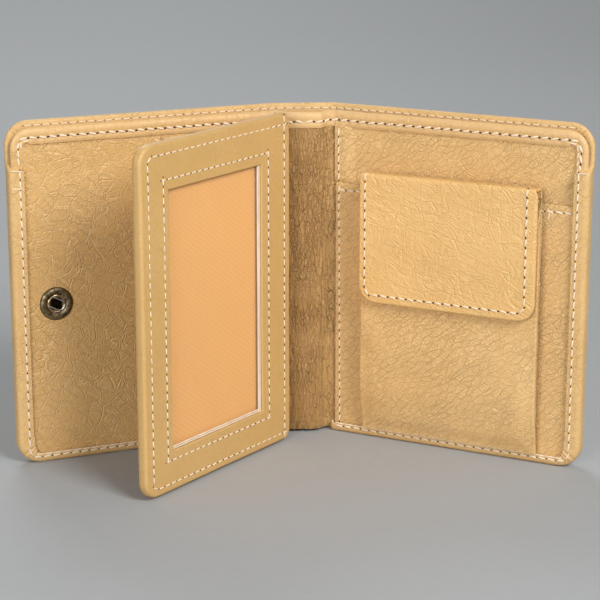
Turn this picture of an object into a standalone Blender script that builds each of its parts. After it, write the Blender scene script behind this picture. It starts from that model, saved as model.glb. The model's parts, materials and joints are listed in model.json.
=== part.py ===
"""Leather bifold wallet with a swinging card page and a coin pocket, standing open in a V.

Metres, +Z up. The spine stands on the floor with the two creases on y = 0, and the covers open
towards -Y. Each leaf has a frame of its own: X runs along the leaf from its hinge line, Z is height,
and depth is counted inwards from the outer skin. Run with: blender --background --python part.py
"""

import math

import bmesh
import bpy
from mathutils import Vector

MM = 0.001

# Whole wallet
HEIGHT = 110 * MM
COVER_WIDTH = 88 * MM
SPINE_WIDTH = 21 * MM
CORNER_RADIUS = 7.5 * MM

# How far each leaf stands out of the flat, at rest
LEFT_REST = math.radians(19)
RIGHT_REST = math.radians(30)
PAGE_REST = math.radians(51)

# Plies, and the gaps between them
SHELL_LEATHER = 0.9 * MM
INNER_LEATHER = 0.7 * MM
BOARD = 0.5 * MM
LINING = 0.3 * MM
PLY_GAP = 0.2 * MM
BILL_GAP = 0.5 * MM
CARD_GAP = 0.5 * MM
FREE_GAP = 0.3 * MM

# Turned edges and hems
BORDER_WIDTH = 4.8 * MM
BOTTOM_BORDER = 2.8 * MM
TOP_HEM = 5.2 * MM
PANEL_DROP = 2.0 * MM
OPEN_CORNER = 14 * MM
BOARD_MARGIN = 1.5 * MM
PANEL_START = 1.6 * MM

# Spine
CHANNEL_DEPTH = 7.0 * MM
CHANNEL_LEATHER = 0.8 * MM
CHANNEL_CORNER = 1.6 * MM
CHANNEL_DROP = 2.5 * MM
SPINE_LINING_MARGIN = 2.5 * MM

# Left cover: a pocket that opens towards the spine, and a press stud's socket
LEFT_POCKET_EDGE = 38.6 * MM
SNAP_FROM_EDGE = 13.9 * MM
SNAP_HEIGHT = 51.8 * MM
SNAP_RADIUS = 5.4 * MM
SNAP_HOLE = 2.95 * MM
SNAP_RISE = 0.9 * MM
SNAP_WALL = 0.35 * MM
CAP_RADIUS = 4.6 * MM
CAP_THICKNESS = 0.2 * MM
SPRING_WIRE = 0.2 * MM
SPRING_TILT = math.radians(28)

# Right cover: a slip pocket, and a coin pocket under a flap
SLIP_POCKET_TOP = 84.5 * MM
COIN_START = 13.4 * MM
COIN_FROM_EDGE = 14 * MM
COIN_MOUTH = 78 * MM
COIN_DEPTH = 3.4 * MM
COIN_LEATHER = 0.8 * MM
COIN_BACK = 0.5 * MM
COIN_TAPER = 16 * MM
GUSSET = 0.5 * MM
GUSSET_INSET = 1.0 * MM
FLAP_TOP = 90.3 * MM
FLAP_LENGTH = 42.6 * MM
FLAP_INSET = 0.3 * MM
FLAP_LEATHER = 0.8 * MM
FLAP_LINING = 0.5 * MM
FLAP_RIM = 1.6 * MM
FLAP_CORNER = 6 * MM
ROLL_LEATHER = 0.8 * MM
ROLL_DROP = 3.2 * MM
ROLL_BEND = 1.6 * MM
MAGNET_RADIUS = 5.0 * MM
MAGNET_THICKNESS = 0.5 * MM
MAGNET_ABOVE_EDGE = 8.5 * MM
KEEPER_THICKNESS = 0.4 * MM

# Page with the card window
PAGE_SHORT = 14 * MM
PAGE_FLOOR_GAP = 0.8 * MM
PAGE_TOP_GAP = 0.8 * MM
PAGE_LEATHER = 0.8 * MM
PAGE_CORNER = 5.5 * MM
PAGE_HINGE_CORNER = 3 * MM
PAGE_EDGE = 1.0 * MM
SHEET = 0.3 * MM
CARD_SLOT = 0.7 * MM
SHEET_MARGIN = 3.5 * MM
SHEET_START = 8.0 * MM
WINDOW_FROM_HINGE = 14.9 * MM
WINDOW_FROM_EDGE = 12.6 * MM
WINDOW_FROM_BOTTOM = 12.5 * MM
WINDOW_FROM_TOP = 14.1 * MM
WINDOW_CORNER = 1.0 * MM
HINGE_REACH = 4.6 * MM
HINGE_TONGUE = 6.5 * MM
HINGE_LEATHER = 0.9 * MM
HINGE_MARGIN = 3.2 * MM
STUD_BALL = 2.4 * MM
STUD_NECK = 1.3 * MM
STUD_BASE = 2.9 * MM
STUD_BASE_RISE = 0.25 * MM
STUD_LENGTH = 1.9 * MM
STUD_BALL_HEIGHT = 0.85 * MM
STUD_FLANGE = 3.4 * MM
STUD_FLANGE_THICKNESS = 0.25 * MM

ARC_STEPS = 6
ROUND_STEPS = 28

# Depths of a cover's plies below its outer skin
FOLD_DEPTH = SHELL_LEATHER / 2
BOARD_DEPTH = SHELL_LEATHER + PLY_GAP
LINING_DEPTH = BOARD_DEPTH + BOARD + PLY_GAP
LINING_FACE = LINING_DEPTH + LINING
PANEL_DEPTH = LINING_FACE + BILL_GAP
PANEL_FACE = PANEL_DEPTH + INNER_LEATHER
HEM_DEPTH = PANEL_FACE + PLY_GAP
HEM_FACE = HEM_DEPTH + INNER_LEATHER
POCKET_DEPTH = PANEL_FACE + CARD_GAP
POCKET_FACE = POCKET_DEPTH + INNER_LEATHER
LIP_DEPTH = POCKET_FACE + PLY_GAP
LIP_FACE = LIP_DEPTH + SHELL_LEATHER
COIN_BACK_DEPTH = POCKET_FACE + PLY_GAP
COIN_CAVITY_DEPTH = COIN_BACK_DEPTH + COIN_BACK
COIN_FRONT_DEPTH = COIN_CAVITY_DEPTH + COIN_DEPTH
COIN_FACE = COIN_FRONT_DEPTH + COIN_LEATHER
FLAP_BACK = COIN_FACE + FREE_GAP
MAGNET_DEPTH = FLAP_BACK + FLAP_LINING + PLY_GAP / 2
FLAP_DEPTH = MAGNET_DEPTH + MAGNET_THICKNESS + PLY_GAP / 2
FLAP_FACE = FLAP_DEPTH + FLAP_LEATHER
FLAP_AXIS_DEPTH = (FLAP_BACK + FLAP_FACE) / 2
FLAP_AXIS_HEIGHT = FLAP_TOP - (FLAP_FACE - FLAP_BACK) / 2

# Edges of a cover's plies
HEM_BOTTOM = HEIGHT - TOP_HEM
PANEL_TOP = HEIGHT - PANEL_DROP
PANEL_HEM_BOTTOM = PANEL_TOP - TOP_HEM
PLY_END = COVER_WIDTH - SHELL_LEATHER - FREE_GAP
PLY_BOTTOM = SHELL_LEATHER + FREE_GAP
PLY_RADIUS = CORNER_RADIUS - SHELL_LEATHER - FREE_GAP
OVER_BORDER = BOTTOM_BORDER + FREE_GAP
SNAP_ALONG = COVER_WIDTH - SNAP_FROM_EDGE
COIN_END = COVER_WIDTH - COIN_FROM_EDGE
FLAP_BOTTOM = FLAP_TOP - FLAP_LENGTH
MAGNET_ALONG = (COIN_START + COIN_END) / 2
MAGNET_HEIGHT = FLAP_BOTTOM + MAGNET_ABOVE_EDGE

# Layers of the page, counted from its middle plane towards its window side
STUD_ROOM = STUD_FLANGE_THICKNESS + PLY_GAP
PAGE_THICKNESS = 2 * PAGE_LEATHER + PLY_GAP + 2 * SHEET + CARD_SLOT + STUD_ROOM
PAGE_FACE = PAGE_THICKNESS / 2
FRAME_BACK = PAGE_FACE - PAGE_LEATHER
SHEET_FACE = FRAME_BACK - PLY_GAP
BACKING_FACE = SHEET_FACE - SHEET - CARD_SLOT
BACK_PLY_FACE = PAGE_LEATHER - PAGE_FACE
PAGE_WIDTH = COVER_WIDTH - PAGE_SHORT
PAGE_TOP = HEIGHT - PAGE_TOP_GAP

# Where the page hangs once the wallet is closed, and where its stud then meets the socket
CREASE = SPINE_WIDTH / 2
CLOSED_SKIN = CREASE + FOLD_DEPTH
CHANNEL_HALF = CLOSED_SKIN - POCKET_FACE - FREE_GAP
CHANNEL_FACE = CHANNEL_DEPTH - FOLD_DEPTH
PAGE_TURN = math.pi / 2 - PAGE_REST
PAGE_CLOSED_X = LIP_FACE + FREE_GAP + PAGE_FACE - CLOSED_SKIN
PAGE_AXIS_X = PAGE_CLOSED_X - HINGE_REACH * math.sin(PAGE_TURN)
PAGE_AXIS_Y = -(CHANNEL_FACE + FREE_GAP + HINGE_LEATHER / 2)
PAGE_CLOSED_START = HINGE_REACH * math.cos(PAGE_TURN) - PAGE_AXIS_Y
STUD_ALONG = SNAP_ALONG - PAGE_CLOSED_START


def clear_scene():
    for item in list(bpy.data.objects):
        bpy.data.objects.remove(item, do_unlink=True)


def material(name, colour, roughness, metallic=0.0, transmission=0.0):
    made = bpy.data.materials.new(name)
    made.use_nodes = True
    shader = made.node_tree.nodes["Principled BSDF"]
    shader.inputs["Base Color"].default_value = (*colour, 1.0)
    shader.inputs["Roughness"].default_value = roughness
    shader.inputs["Metallic"].default_value = metallic
    shader.inputs["Transmission Weight"].default_value = transmission
    made.diffuse_color = (*colour, 1.0)
    return made


def leaf(name, place, angle, inward, origin_depth, parent=None):
    """An empty on a hinge line. Its X runs along the leaf; inward is the sign of depth along its Y."""
    empty = bpy.data.objects.new(name, None)
    empty.location = place
    empty.rotation_euler = (0, 0, angle)
    empty.parent = parent
    empty["inward"] = inward
    empty["origin_depth"] = origin_depth
    bpy.context.scene.collection.objects.link(empty)
    return empty


def across(frame, depth):
    """The Y coordinate, in a leaf's frame, of a depth below its skin."""
    return frame["inward"] * (depth - frame["origin_depth"])


def up(frame, height):
    """The Z coordinate, in a leaf's frame, of a height above the floor."""
    return height - frame.location.z


def add_object(name, data, finish, frame):
    """Gives the mesh or curve an object of its own in a leaf's frame. A cutter has no finish."""
    item = bpy.data.objects.new(name, data)
    item.parent = frame
    if finish:
        data.materials.append(finish)
    else:
        item.hide_render = True
        item.display_type = "WIRE"
    bpy.context.scene.collection.objects.link(item)
    return item


def arc(middle, start, turn):
    """Points of an arc that turns the start point about the middle by this angle."""
    points = []
    x, y = start[0] - middle[0], start[1] - middle[1]
    for step in range(ARC_STEPS + 1):
        angle = turn * step / ARC_STEPS
        right = x * math.cos(angle) - y * math.sin(angle)
        rise = x * math.sin(angle) + y * math.cos(angle)
        points.append((middle[0] + right, middle[1] + rise))
    return points


def rounded(corners):
    """An outline from (x, y, radius) corners, each rounded by an arc that its sides meet smoothly."""
    outline = []
    for i, (x, y, radius) in enumerate(corners):
        if radius <= 0:
            outline.append((x, y))
            continue
        here = Vector((x, y))
        before = (Vector(corners[i - 1][:2]) - here).normalized()
        after = (Vector(corners[(i + 1) % len(corners)][:2]) - here).normalized()
        half = before.angle(after) / 2
        middle = here + (before + after).normalized() * (radius / math.sin(half))
        start = here + before * (radius / math.tan(half))
        side = math.copysign(1, before.x * after.y - before.y * after.x)
        outline += arc(middle, start, -side * (math.pi - 2 * half))
    return outline


def box(left, bottom, right, top):
    return [(left, bottom), (right, bottom), (right, top), (left, top)]


def outer_rounded(left, bottom, right, top, bottom_radius, top_radius):
    """A rectangle with square corners at the hinge and round ones at its outer edge."""
    outer_corners = [(right, bottom, bottom_radius), (right, top, top_radius)]
    return rounded([(left, bottom, 0), *outer_corners, (left, top, 0)])


def finish_mesh(name, shape):
    bmesh.ops.recalc_face_normals(shape, faces=shape.faces)
    mesh = bpy.data.meshes.new(name)
    shape.to_mesh(mesh)
    shape.free()
    return mesh


def prism_mesh(name, outline, low, high, axes):
    """A closed prism. axes says which of X, Y, Z take the outline's two numbers and the extrusion."""
    shape = bmesh.new()
    corners = []
    for pair in outline:
        place = Vector((0, 0, 0))
        place[axes[0]] = pair[0]
        place[axes[1]] = pair[1]
        place[axes[2]] = low
        corners.append(shape.verts.new(place))
    face = shape.faces.new(corners)
    grown = bmesh.ops.extrude_face_region(shape, geom=[face], use_keep_orig=True)
    shift = Vector((0, 0, 0))
    shift[axes[2]] = high - low
    moved = [item for item in grown["geom"] if isinstance(item, bmesh.types.BMVert)]
    bmesh.ops.translate(shape, vec=shift, verts=moved)
    return finish_mesh(name, shape)


def ply(name, outline, low, high, finish, frame):
    """A flat ply: an (along, height) outline between two depths."""
    flat = [(along, up(frame, height)) for along, height in outline]
    ends = sorted((across(frame, low), across(frame, high)))
    return add_object(name, prism_mesh(name, flat, *ends, (0, 2, 1)), finish, frame)


def bar(name, profile, start, end, finish, frame):
    """A (depth, height) profile run along the leaf from start to end."""
    section = [(across(frame, depth), up(frame, height)) for depth, height in profile]
    return add_object(name, prism_mesh(name, section, start, end, (1, 2, 0)), finish, frame)


def column(name, profile, bottom, top, finish, frame):
    """An (along, depth) profile run up from bottom to top."""
    section = [(along, across(frame, depth)) for along, depth in profile]
    return add_object(name, prism_mesh(name, section, bottom, top, (0, 1, 2)), finish, frame)


def turned(name, profile, along, height, finish, frame):
    """A (radius, depth) profile turned about an axis square to the leaf."""
    shape = bmesh.new()
    centre = Vector((along, 0, up(frame, height)))
    chain = []
    for radius, depth in profile:
        chain.append(shape.verts.new(centre + Vector((radius, across(frame, depth), 0))))
    edges = [shape.edges.new(pair) for pair in zip(chain, chain[1:])]
    if profile[0][0] > 0:
        edges.append(shape.edges.new((chain[-1], chain[0])))
    bmesh.ops.spin(shape, geom=chain + edges, cent=centre, axis=(0, 1, 0), angle=2 * math.pi,
                   steps=ROUND_STEPS, use_merge=True)
    bmesh.ops.remove_doubles(shape, verts=shape.verts, dist=0.001 * MM)
    mesh = finish_mesh(name, shape)
    mesh.shade_smooth()
    mesh.set_sharp_from_angle(angle=math.radians(40))
    return add_object(name, mesh, finish, frame)


def boolean(item, operation, helper):
    modifier = item.modifiers.new(operation + " " + helper.name, "BOOLEAN")
    modifier.operation = operation
    modifier.solver = "EXACT"
    modifier.object = helper


def cut_ply(item, label, outline, low, high, frame):
    boolean(item, "DIFFERENCE", ply(item.name + label, outline, low, high, None, frame))


def outer_shell(side, frame, finish):
    """The outer leather, its side and bottom edges turned over the inner plies, its top edge hemmed."""
    before = -BORDER_WIDTH
    beyond = COVER_WIDTH + BORDER_WIDTH
    above = HEIGHT + TOP_HEM
    proud = LIP_FACE + SHELL_LEATHER
    whole = outer_rounded(FOLD_DEPTH + FREE_GAP, 0, COVER_WIDTH, HEIGHT, CORNER_RADIUS, CORNER_RADIUS)
    shell = ply(side + "_outer_shell", whole, 0, LIP_FACE, finish, frame)
    inner_edge = COVER_WIDTH - SHELL_LEATHER
    hollow = outer_rounded(before, SHELL_LEATHER, inner_edge, HEM_BOTTOM, CORNER_RADIUS - SHELL_LEATHER, 0)
    cut_ply(shell, "_hollow", hollow, SHELL_LEATHER, LIP_DEPTH, frame)
    mouth_edge = COVER_WIDTH - BORDER_WIDTH
    mouth = outer_rounded(before, BOTTOM_BORDER, mouth_edge, above, CORNER_RADIUS - BORDER_WIDTH, 0)
    cut_ply(shell, "_mouth", mouth, LIP_DEPTH - PLY_GAP, proud, frame)
    cut_ply(shell, "_hem", box(before, HEM_BOTTOM - PLY_GAP, beyond, above), 2 * SHELL_LEATHER, proud, frame)
    corner = box(before, HEIGHT - OPEN_CORNER, beyond, HEM_BOTTOM)
    cut_ply(shell, "_corner", corner, SHELL_LEATHER, proud, frame)


def stiff_plies(side, frame, board_finish, lining_finish):
    """The board, and the cloth lining of the bill compartment. They stop short of the turned edges."""
    low = SHELL_LEATHER + BOARD_MARGIN
    start = FOLD_DEPTH + FREE_GAP + BOARD_MARGIN
    outline = outer_rounded(start, low, COVER_WIDTH - low, HEM_BOTTOM - FREE_GAP, CORNER_RADIUS - low, 0)
    ply(side + "_stiffener_board", outline, BOARD_DEPTH, BOARD_DEPTH + BOARD, board_finish, frame)
    ply(side + "_bill_lining", outline, LINING_DEPTH, LINING_FACE, lining_finish, frame)


def inner_panel(side, frame, finish):
    """The front wall of the bill compartment. Its top edge is turned over to the front as a hem."""
    before = -BORDER_WIDTH
    beyond = COVER_WIDTH + BORDER_WIDTH
    whole = outer_rounded(PANEL_START, PLY_BOTTOM, PLY_END, PANEL_TOP, PLY_RADIUS, PLY_RADIUS)
    panel = ply(side + "_inner_panel", whole, PANEL_DEPTH, HEM_FACE, finish, frame)
    below = box(before, before, beyond, PANEL_HEM_BOTTOM)
    cut_ply(panel, "_face", below, PANEL_FACE, HEM_FACE + INNER_LEATHER, frame)
    fold = box(before, PANEL_HEM_BOTTOM - PLY_GAP, beyond, PANEL_TOP - INNER_LEATHER)
    cut_ply(panel, "_fold", fold, PANEL_FACE, HEM_DEPTH, frame)


def slip_pocket(side, start, top, frame, finish):
    outline = outer_rounded(start, PLY_BOTTOM, PLY_END, top, PLY_RADIUS, 0)
    return ply(side + "_slip_pocket", outline, POCKET_DEPTH, POCKET_FACE, finish, frame)


def spine(frame, leather, dark_leather, cloth):
    """The outer strip with round knuckles on the creases, its lining, and the channel in front."""
    right_knuckle = arc((CREASE, FOLD_DEPTH), (CREASE, 0), math.pi)
    left_knuckle = arc((-CREASE, FOLD_DEPTH), (-CREASE, SHELL_LEATHER), math.pi)
    column("spine_outer_strip", right_knuckle + left_knuckle, 0, HEIGHT, leather, frame)
    half = CREASE - SPINE_LINING_MARGIN
    lining = box(-half, BOARD_DEPTH, half, BOARD_DEPTH + LINING)
    column("spine_bill_lining", lining, OVER_BORDER, HEM_BOTTOM - FREE_GAP, cloth, frame)
    back = BOARD_DEPTH + LINING + FREE_GAP
    inner = CHANNEL_HALF - CHANNEL_LEATHER
    floor = CHANNEL_DEPTH - CHANNEL_LEATHER
    bend = CHANNEL_CORNER
    inner_bend = CHANNEL_CORNER - CHANNEL_LEATHER
    profile = rounded([
        (-CHANNEL_HALF, back, 0), (-CHANNEL_HALF, CHANNEL_DEPTH, bend),
        (CHANNEL_HALF, CHANNEL_DEPTH, bend), (CHANNEL_HALF, back, 0),
        (inner, back, 0), (inner, floor, inner_bend), (-inner, floor, inner_bend), (-inner, back, 0)])
    column("spine_lining", profile, OVER_BORDER, HEIGHT - CHANNEL_DROP, dark_leather, frame)


def press_stud_socket(frame, pocket, brass, steel):
    """A domed ring with a tube through the ply, a hairpin spring inside it and a cap behind the ply."""
    seat = POCKET_FACE + PLY_GAP / 2
    top = POCKET_FACE + SNAP_RISE
    tube = SNAP_HOLE + SNAP_WALL
    ring = [
        (SNAP_RADIUS, seat),
        (0.97 * SNAP_RADIUS, seat + 0.5 * SNAP_RISE),
        (0.88 * SNAP_RADIUS, top - 0.12 * SNAP_RISE),
        (0.75 * SNAP_RADIUS, top),
        (SNAP_HOLE + 0.5 * SNAP_WALL, top - 0.1 * SNAP_RISE),
        (SNAP_HOLE, top - 0.3 * SNAP_RISE),
        (SNAP_HOLE, POCKET_DEPTH),
        (tube, POCKET_DEPTH),
        (tube, seat),
    ]
    turned("snap_socket_ring", ring, SNAP_ALONG, SNAP_HEIGHT, brass, frame)
    clear = tube + PLY_GAP
    bore = [(0, POCKET_DEPTH - PLY_GAP), (clear, POCKET_DEPTH - PLY_GAP), (clear, top), (0, top)]
    boolean(pocket, "DIFFERENCE", turned("snap_socket_bore", bore, SNAP_ALONG, SNAP_HEIGHT, None, frame))
    back = (PANEL_FACE + POCKET_DEPTH - CAP_THICKNESS) / 2
    cap = [(0, back), (CAP_RADIUS, back), (CAP_RADIUS, back + CAP_THICKNESS), (0, back + CAP_THICKNESS)]
    turned("snap_socket_cap", cap, SNAP_ALONG, SNAP_HEIGHT, brass, frame)
    hairpin(frame, top - PLY_GAP / 2 - SPRING_WIRE, steel)


def hairpin(frame, depth, steel):
    """Two arms that pass either side of the stud's neck, joined by a bend, within the ring's hole."""
    half = STUD_NECK + SPRING_WIRE + PLY_GAP / 2
    room = SNAP_HOLE - SPRING_WIRE - PLY_GAP / 2
    bend_at = room - half
    reach = math.sqrt(room ** 2 - half ** 2)
    path = [(reach, half)] + arc((-bend_at, 0), (-bend_at, half), math.pi) + [(reach, -half)]
    curve = bpy.data.curves.new("snap_spring", "CURVE")
    curve.dimensions = "3D"
    curve.bevel_depth = SPRING_WIRE
    curve.bevel_resolution = 1
    curve.use_fill_caps = True
    spline = curve.splines.new("POLY")
    spline.points.add(len(path) - 1)
    for point, (x, z) in zip(spline.points, path):
        along = SNAP_ALONG + x * math.cos(SPRING_TILT) - z * math.sin(SPRING_TILT)
        height = SNAP_HEIGHT + x * math.sin(SPRING_TILT) + z * math.cos(SPRING_TILT)
        point.co = (along, across(frame, depth), up(frame, height), 1)
    add_object("snap_spring", curve, steel, frame)


def coin_pocket(frame, leather, cloth, steel):
    """Back, tapered front and two gussets, open at the top under the flap."""
    back = box(COIN_START, OVER_BORDER, COIN_END, FLAP_AXIS_HEIGHT - ROLL_DROP)
    ply("coin_pocket_back", back, COIN_BACK_DEPTH, COIN_CAVITY_DEPTH, cloth, frame)
    foot = COIN_CAVITY_DEPTH + PLY_GAP
    knee = OVER_BORDER + COIN_TAPER
    front = [
        (foot, OVER_BORDER), (foot + COIN_LEATHER, OVER_BORDER), (COIN_FACE, knee), (COIN_FACE, COIN_MOUTH),
        (COIN_FRONT_DEPTH, COIN_MOUTH), (COIN_FRONT_DEPTH, knee)]
    bar("coin_pocket_front", front, COIN_START, COIN_END, leather, frame)
    rise = (COIN_FRONT_DEPTH - foot) / COIN_TAPER
    inside = COIN_FRONT_DEPTH - PLY_GAP
    low = OVER_BORDER + (PLY_GAP + GUSSET) / rise
    gusset = [(foot, low), (foot + GUSSET, low), (inside, knee), (inside, COIN_MOUTH), (foot, COIN_MOUTH)]
    first = COIN_START + GUSSET_INSET
    second = COIN_END - GUSSET_INSET - GUSSET
    bar("coin_pocket_gusset_left", gusset, first, first + GUSSET, leather, frame)
    bar("coin_pocket_gusset_right", gusset, second, second + GUSSET, leather, frame)
    near = COIN_FRONT_DEPTH - PLY_GAP / 2
    far = near - KEEPER_THICKNESS
    keeper = [(0, far), (MAGNET_RADIUS, far), (MAGNET_RADIUS, near), (0, near)]
    turned("coin_pocket_keeper", keeper, MAGNET_ALONG, MAGNET_HEIGHT, steel, frame)


def hinge_roll(frame, leather):
    """The stretch of the flap's leather that comes up from the pocket's back and over to the hinge line."""
    foot = FLAP_AXIS_HEIGHT - ROLL_DROP + PLY_GAP
    roof = FLAP_AXIS_HEIGHT + ROLL_LEATHER / 2
    under = roof - ROLL_LEATHER
    lip = FLAP_BACK - FREE_GAP
    inner = COIN_BACK_DEPTH + ROLL_LEATHER
    profile = rounded([
        (COIN_BACK_DEPTH, foot, 0), (inner, foot, 0), (inner, under, ROLL_BEND - ROLL_LEATHER),
        (lip, under, 0), (lip, roof, 0), (COIN_BACK_DEPTH, roof, ROLL_BEND)])
    bar("coin_flap_hinge_roll", profile, COIN_START, COIN_END, leather, frame)


def flap_outline(inset, top):
    start = COIN_START + FLAP_INSET + inset
    stop = COIN_END - FLAP_INSET - inset
    low = FLAP_BOTTOM + inset
    radius = FLAP_CORNER - inset
    return rounded([(start, low, radius), (stop, low, radius), (stop, top, 0), (start, top, 0)])


def coin_flap(frame, leather, cloth, steel):
    """The flap hangs from a round top edge on its hinge line. Its rim is turned over the lining."""
    knuckle = arc((FLAP_AXIS_DEPTH, FLAP_AXIS_HEIGHT), (FLAP_FACE, FLAP_AXIS_HEIGHT), math.pi)
    profile = knuckle + [(FLAP_BACK, FLAP_BOTTOM), (FLAP_FACE, FLAP_BOTTOM)]
    outer = bar("coin_flap_outer", profile, COIN_START + FLAP_INSET, COIN_END - FLAP_INSET, leather, frame)
    near = FLAP_BACK - FREE_GAP
    limit = ply("coin_flap_corners", flap_outline(0, HEIGHT), near, FLAP_FACE + FREE_GAP, None, frame)
    boolean(outer, "INTERSECT", limit)
    under_knuckle = FLAP_AXIS_HEIGHT - FLAP_RIM
    cut_ply(outer, "_hollow", flap_outline(FLAP_RIM, under_knuckle), near, FLAP_DEPTH, frame)
    lining = flap_outline(FLAP_RIM + PLY_GAP, under_knuckle - PLY_GAP)
    ply("coin_flap_lining", lining, FLAP_BACK, FLAP_BACK + FLAP_LINING, cloth, frame)
    far = MAGNET_DEPTH + MAGNET_THICKNESS
    magnet = [(0, MAGNET_DEPTH), (MAGNET_RADIUS, MAGNET_DEPTH), (MAGNET_RADIUS, far), (0, far)]
    turned("coin_flap_magnet", magnet, MAGNET_ALONG, MAGNET_HEIGHT, steel, frame)


def page_outline(start, inset, hinge_corner):
    end = PAGE_WIDTH - inset
    low = PAGE_FLOOR_GAP + inset
    high = PAGE_TOP - inset
    radius = PAGE_CORNER - inset
    return rounded([
        (start, low, hinge_corner), (end, low, radius), (end, high, radius), (start, high, hinge_corner)])


def card_page(frame, leather, cloth, clear, brass):
    """Frame with a turned edge, window, backing, back ply, and the stud riveted through the back ply."""
    whole = page_outline(0, 0, PAGE_HINGE_CORNER)
    rim_back = BACK_PLY_FACE + PLY_GAP
    front = ply("page_front_frame", whole, rim_back, PAGE_FACE, leather, frame)
    cut_ply(front, "_hollow", page_outline(-PAGE_EDGE, PAGE_EDGE, 0), rim_back - PLY_GAP, FRAME_BACK, frame)
    low = PAGE_FLOOR_GAP + WINDOW_FROM_BOTTOM
    high = PAGE_TOP - WINDOW_FROM_TOP
    right = PAGE_WIDTH - WINDOW_FROM_EDGE
    window = rounded([
        (WINDOW_FROM_HINGE, low, WINDOW_CORNER), (right, low, WINDOW_CORNER), (right, high, WINDOW_CORNER),
        (WINDOW_FROM_HINGE, high, WINDOW_CORNER)])
    cut_ply(front, "_window", window, FRAME_BACK - PLY_GAP, PAGE_FACE + PLY_GAP, frame)
    sheet = page_outline(SHEET_START, SHEET_MARGIN, 0)
    ply("page_window", sheet, SHEET_FACE - SHEET, SHEET_FACE, clear, frame)
    ply("page_backing", sheet, BACKING_FACE - SHEET, BACKING_FACE, cloth, frame)
    back = ply("page_back_ply", whole, -PAGE_FACE, BACK_PLY_FACE, leather, frame)
    bore = STUD_NECK + PLY_GAP
    behind = -PAGE_FACE - PLY_GAP
    hole = [(0, behind), (bore, behind), (bore, BACKING_FACE), (0, BACKING_FACE)]
    boolean(back, "DIFFERENCE", turned("page_stud_hole", hole, STUD_ALONG, SNAP_HEIGHT, None, frame))
    page_stud(frame, brass)


def page_stud(frame, brass):
    """A flange inside the page, a base outside it, then a neck and a ball that faces the socket."""
    inside = BACK_PLY_FACE + PLY_GAP / 2
    outside = -PAGE_FACE - PLY_GAP / 2
    base = outside - STUD_BASE_RISE
    tip = -PAGE_FACE - STUD_LENGTH
    ball = tip + STUD_BALL_HEIGHT
    profile = [
        (0, inside + STUD_FLANGE_THICKNESS), (STUD_FLANGE, inside + STUD_FLANGE_THICKNESS),
        (STUD_FLANGE, inside), (STUD_NECK, inside), (STUD_NECK, outside), (STUD_BASE, outside),
        (0.85 * STUD_BASE, base), (STUD_NECK, base), (STUD_NECK, ball),
        (STUD_BALL, ball - 0.35 * STUD_BALL_HEIGHT), (STUD_BALL, ball - 0.6 * STUD_BALL_HEIGHT),
        (0.7 * STUD_BALL, tip), (0, tip)]
    turned("page_stud", profile, STUD_ALONG, SNAP_HEIGHT, brass, frame)


def page_hinge(frame, leather):
    """The strip that the page swings on: round root on the axis, straight reach, tongue in the page."""
    half = HINGE_LEATHER / 2
    mitre = half * math.tan(PAGE_TURN / 2)
    bend = Vector((0, -HINGE_REACH))
    end = bend + Vector((-math.sin(PAGE_TURN), -math.cos(PAGE_TURN))) * HINGE_TONGUE
    side = Vector((-math.cos(PAGE_TURN), math.sin(PAGE_TURN))) * half
    profile = arc((0, 0), (half, 0), math.pi)
    profile += [(-half, mitre - HINGE_REACH), tuple(end + side)]
    profile += [tuple(end - side), (half, -mitre - HINGE_REACH)]
    top = PANEL_HEM_BOTTOM - FREE_GAP
    column("page_hinge_strip", profile, PAGE_FLOOR_GAP + HINGE_MARGIN, top, leather, frame)


def build():
    clear_scene()
    tan = material("tan_leather", (0.68, 0.43, 0.18), 0.5)
    pale = material("page_leather", (0.66, 0.41, 0.16), 0.48)
    dark = material("spine_leather", (0.38, 0.2, 0.07), 0.55)
    board = material("fibre_board", (0.35, 0.3, 0.24), 0.9)
    cloth = material("lining_cloth", (0.3, 0.2, 0.12), 0.9)
    peach = material("backing_cloth", (0.85, 0.44, 0.16), 0.8)
    clear = material("clear_sheet", (0.95, 0.95, 0.93), 0.08, transmission=0.9)
    brass = material("antique_brass", (0.36, 0.27, 0.16), 0.35, metallic=1.0)
    steel = material("steel", (0.55, 0.55, 0.53), 0.35, metallic=1.0)

    middle = leaf("spine_frame", (0, 0, 0), 0, -1, FOLD_DEPTH)
    left = leaf("left_fold_axis", (-CREASE, 0, 0), math.pi + LEFT_REST, 1, FOLD_DEPTH)
    right = leaf("right_fold_axis", (CREASE, 0, 0), -RIGHT_REST, -1, FOLD_DEPTH)
    flap_place = (0, across(right, FLAP_AXIS_DEPTH), FLAP_AXIS_HEIGHT)
    flap = leaf("flap_lift_axis", flap_place, 0, -1, FLAP_AXIS_DEPTH, right)
    page_axis = leaf("page_turn_axis", (PAGE_AXIS_X, PAGE_AXIS_Y, 0), 0, 1, 0)
    page = leaf("page_leaf", (0, -HINGE_REACH, 0), math.pi + PAGE_REST, 1, 0, page_axis)

    spine(middle, tan, dark, cloth)
    for side, frame in (("left", left), ("right", right)):
        outer_shell(side, frame, tan)
        stiff_plies(side, frame, board, cloth)
        inner_panel(side, frame, tan)
    pocket = slip_pocket("left", LEFT_POCKET_EDGE, PANEL_HEM_BOTTOM - PLY_GAP, left, tan)
    slip_pocket("right", PANEL_START, SLIP_POCKET_TOP, right, tan)
    press_stud_socket(left, pocket, brass, steel)
    coin_pocket(right, tan, cloth, steel)
    hinge_roll(right, tan)
    coin_flap(flap, tan, cloth, steel)
    page_hinge(page_axis, dark)
    card_page(page, pale, peach, clear, brass)


build()
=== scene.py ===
# %% [markdown]
# # A leather bifold wallet, standing open
#
# The wallet stands on its lower edges in a V. Its construction is already there, as a fixed frame of
# plain solids. This script dresses that frame: each leather ply is made again as a turned, stitched and
# creased sheet, and each finish is a material of nodes. The frame is loaded first, because every piece
# takes its place from it.

# %% Load the frame
import json
import math

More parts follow.
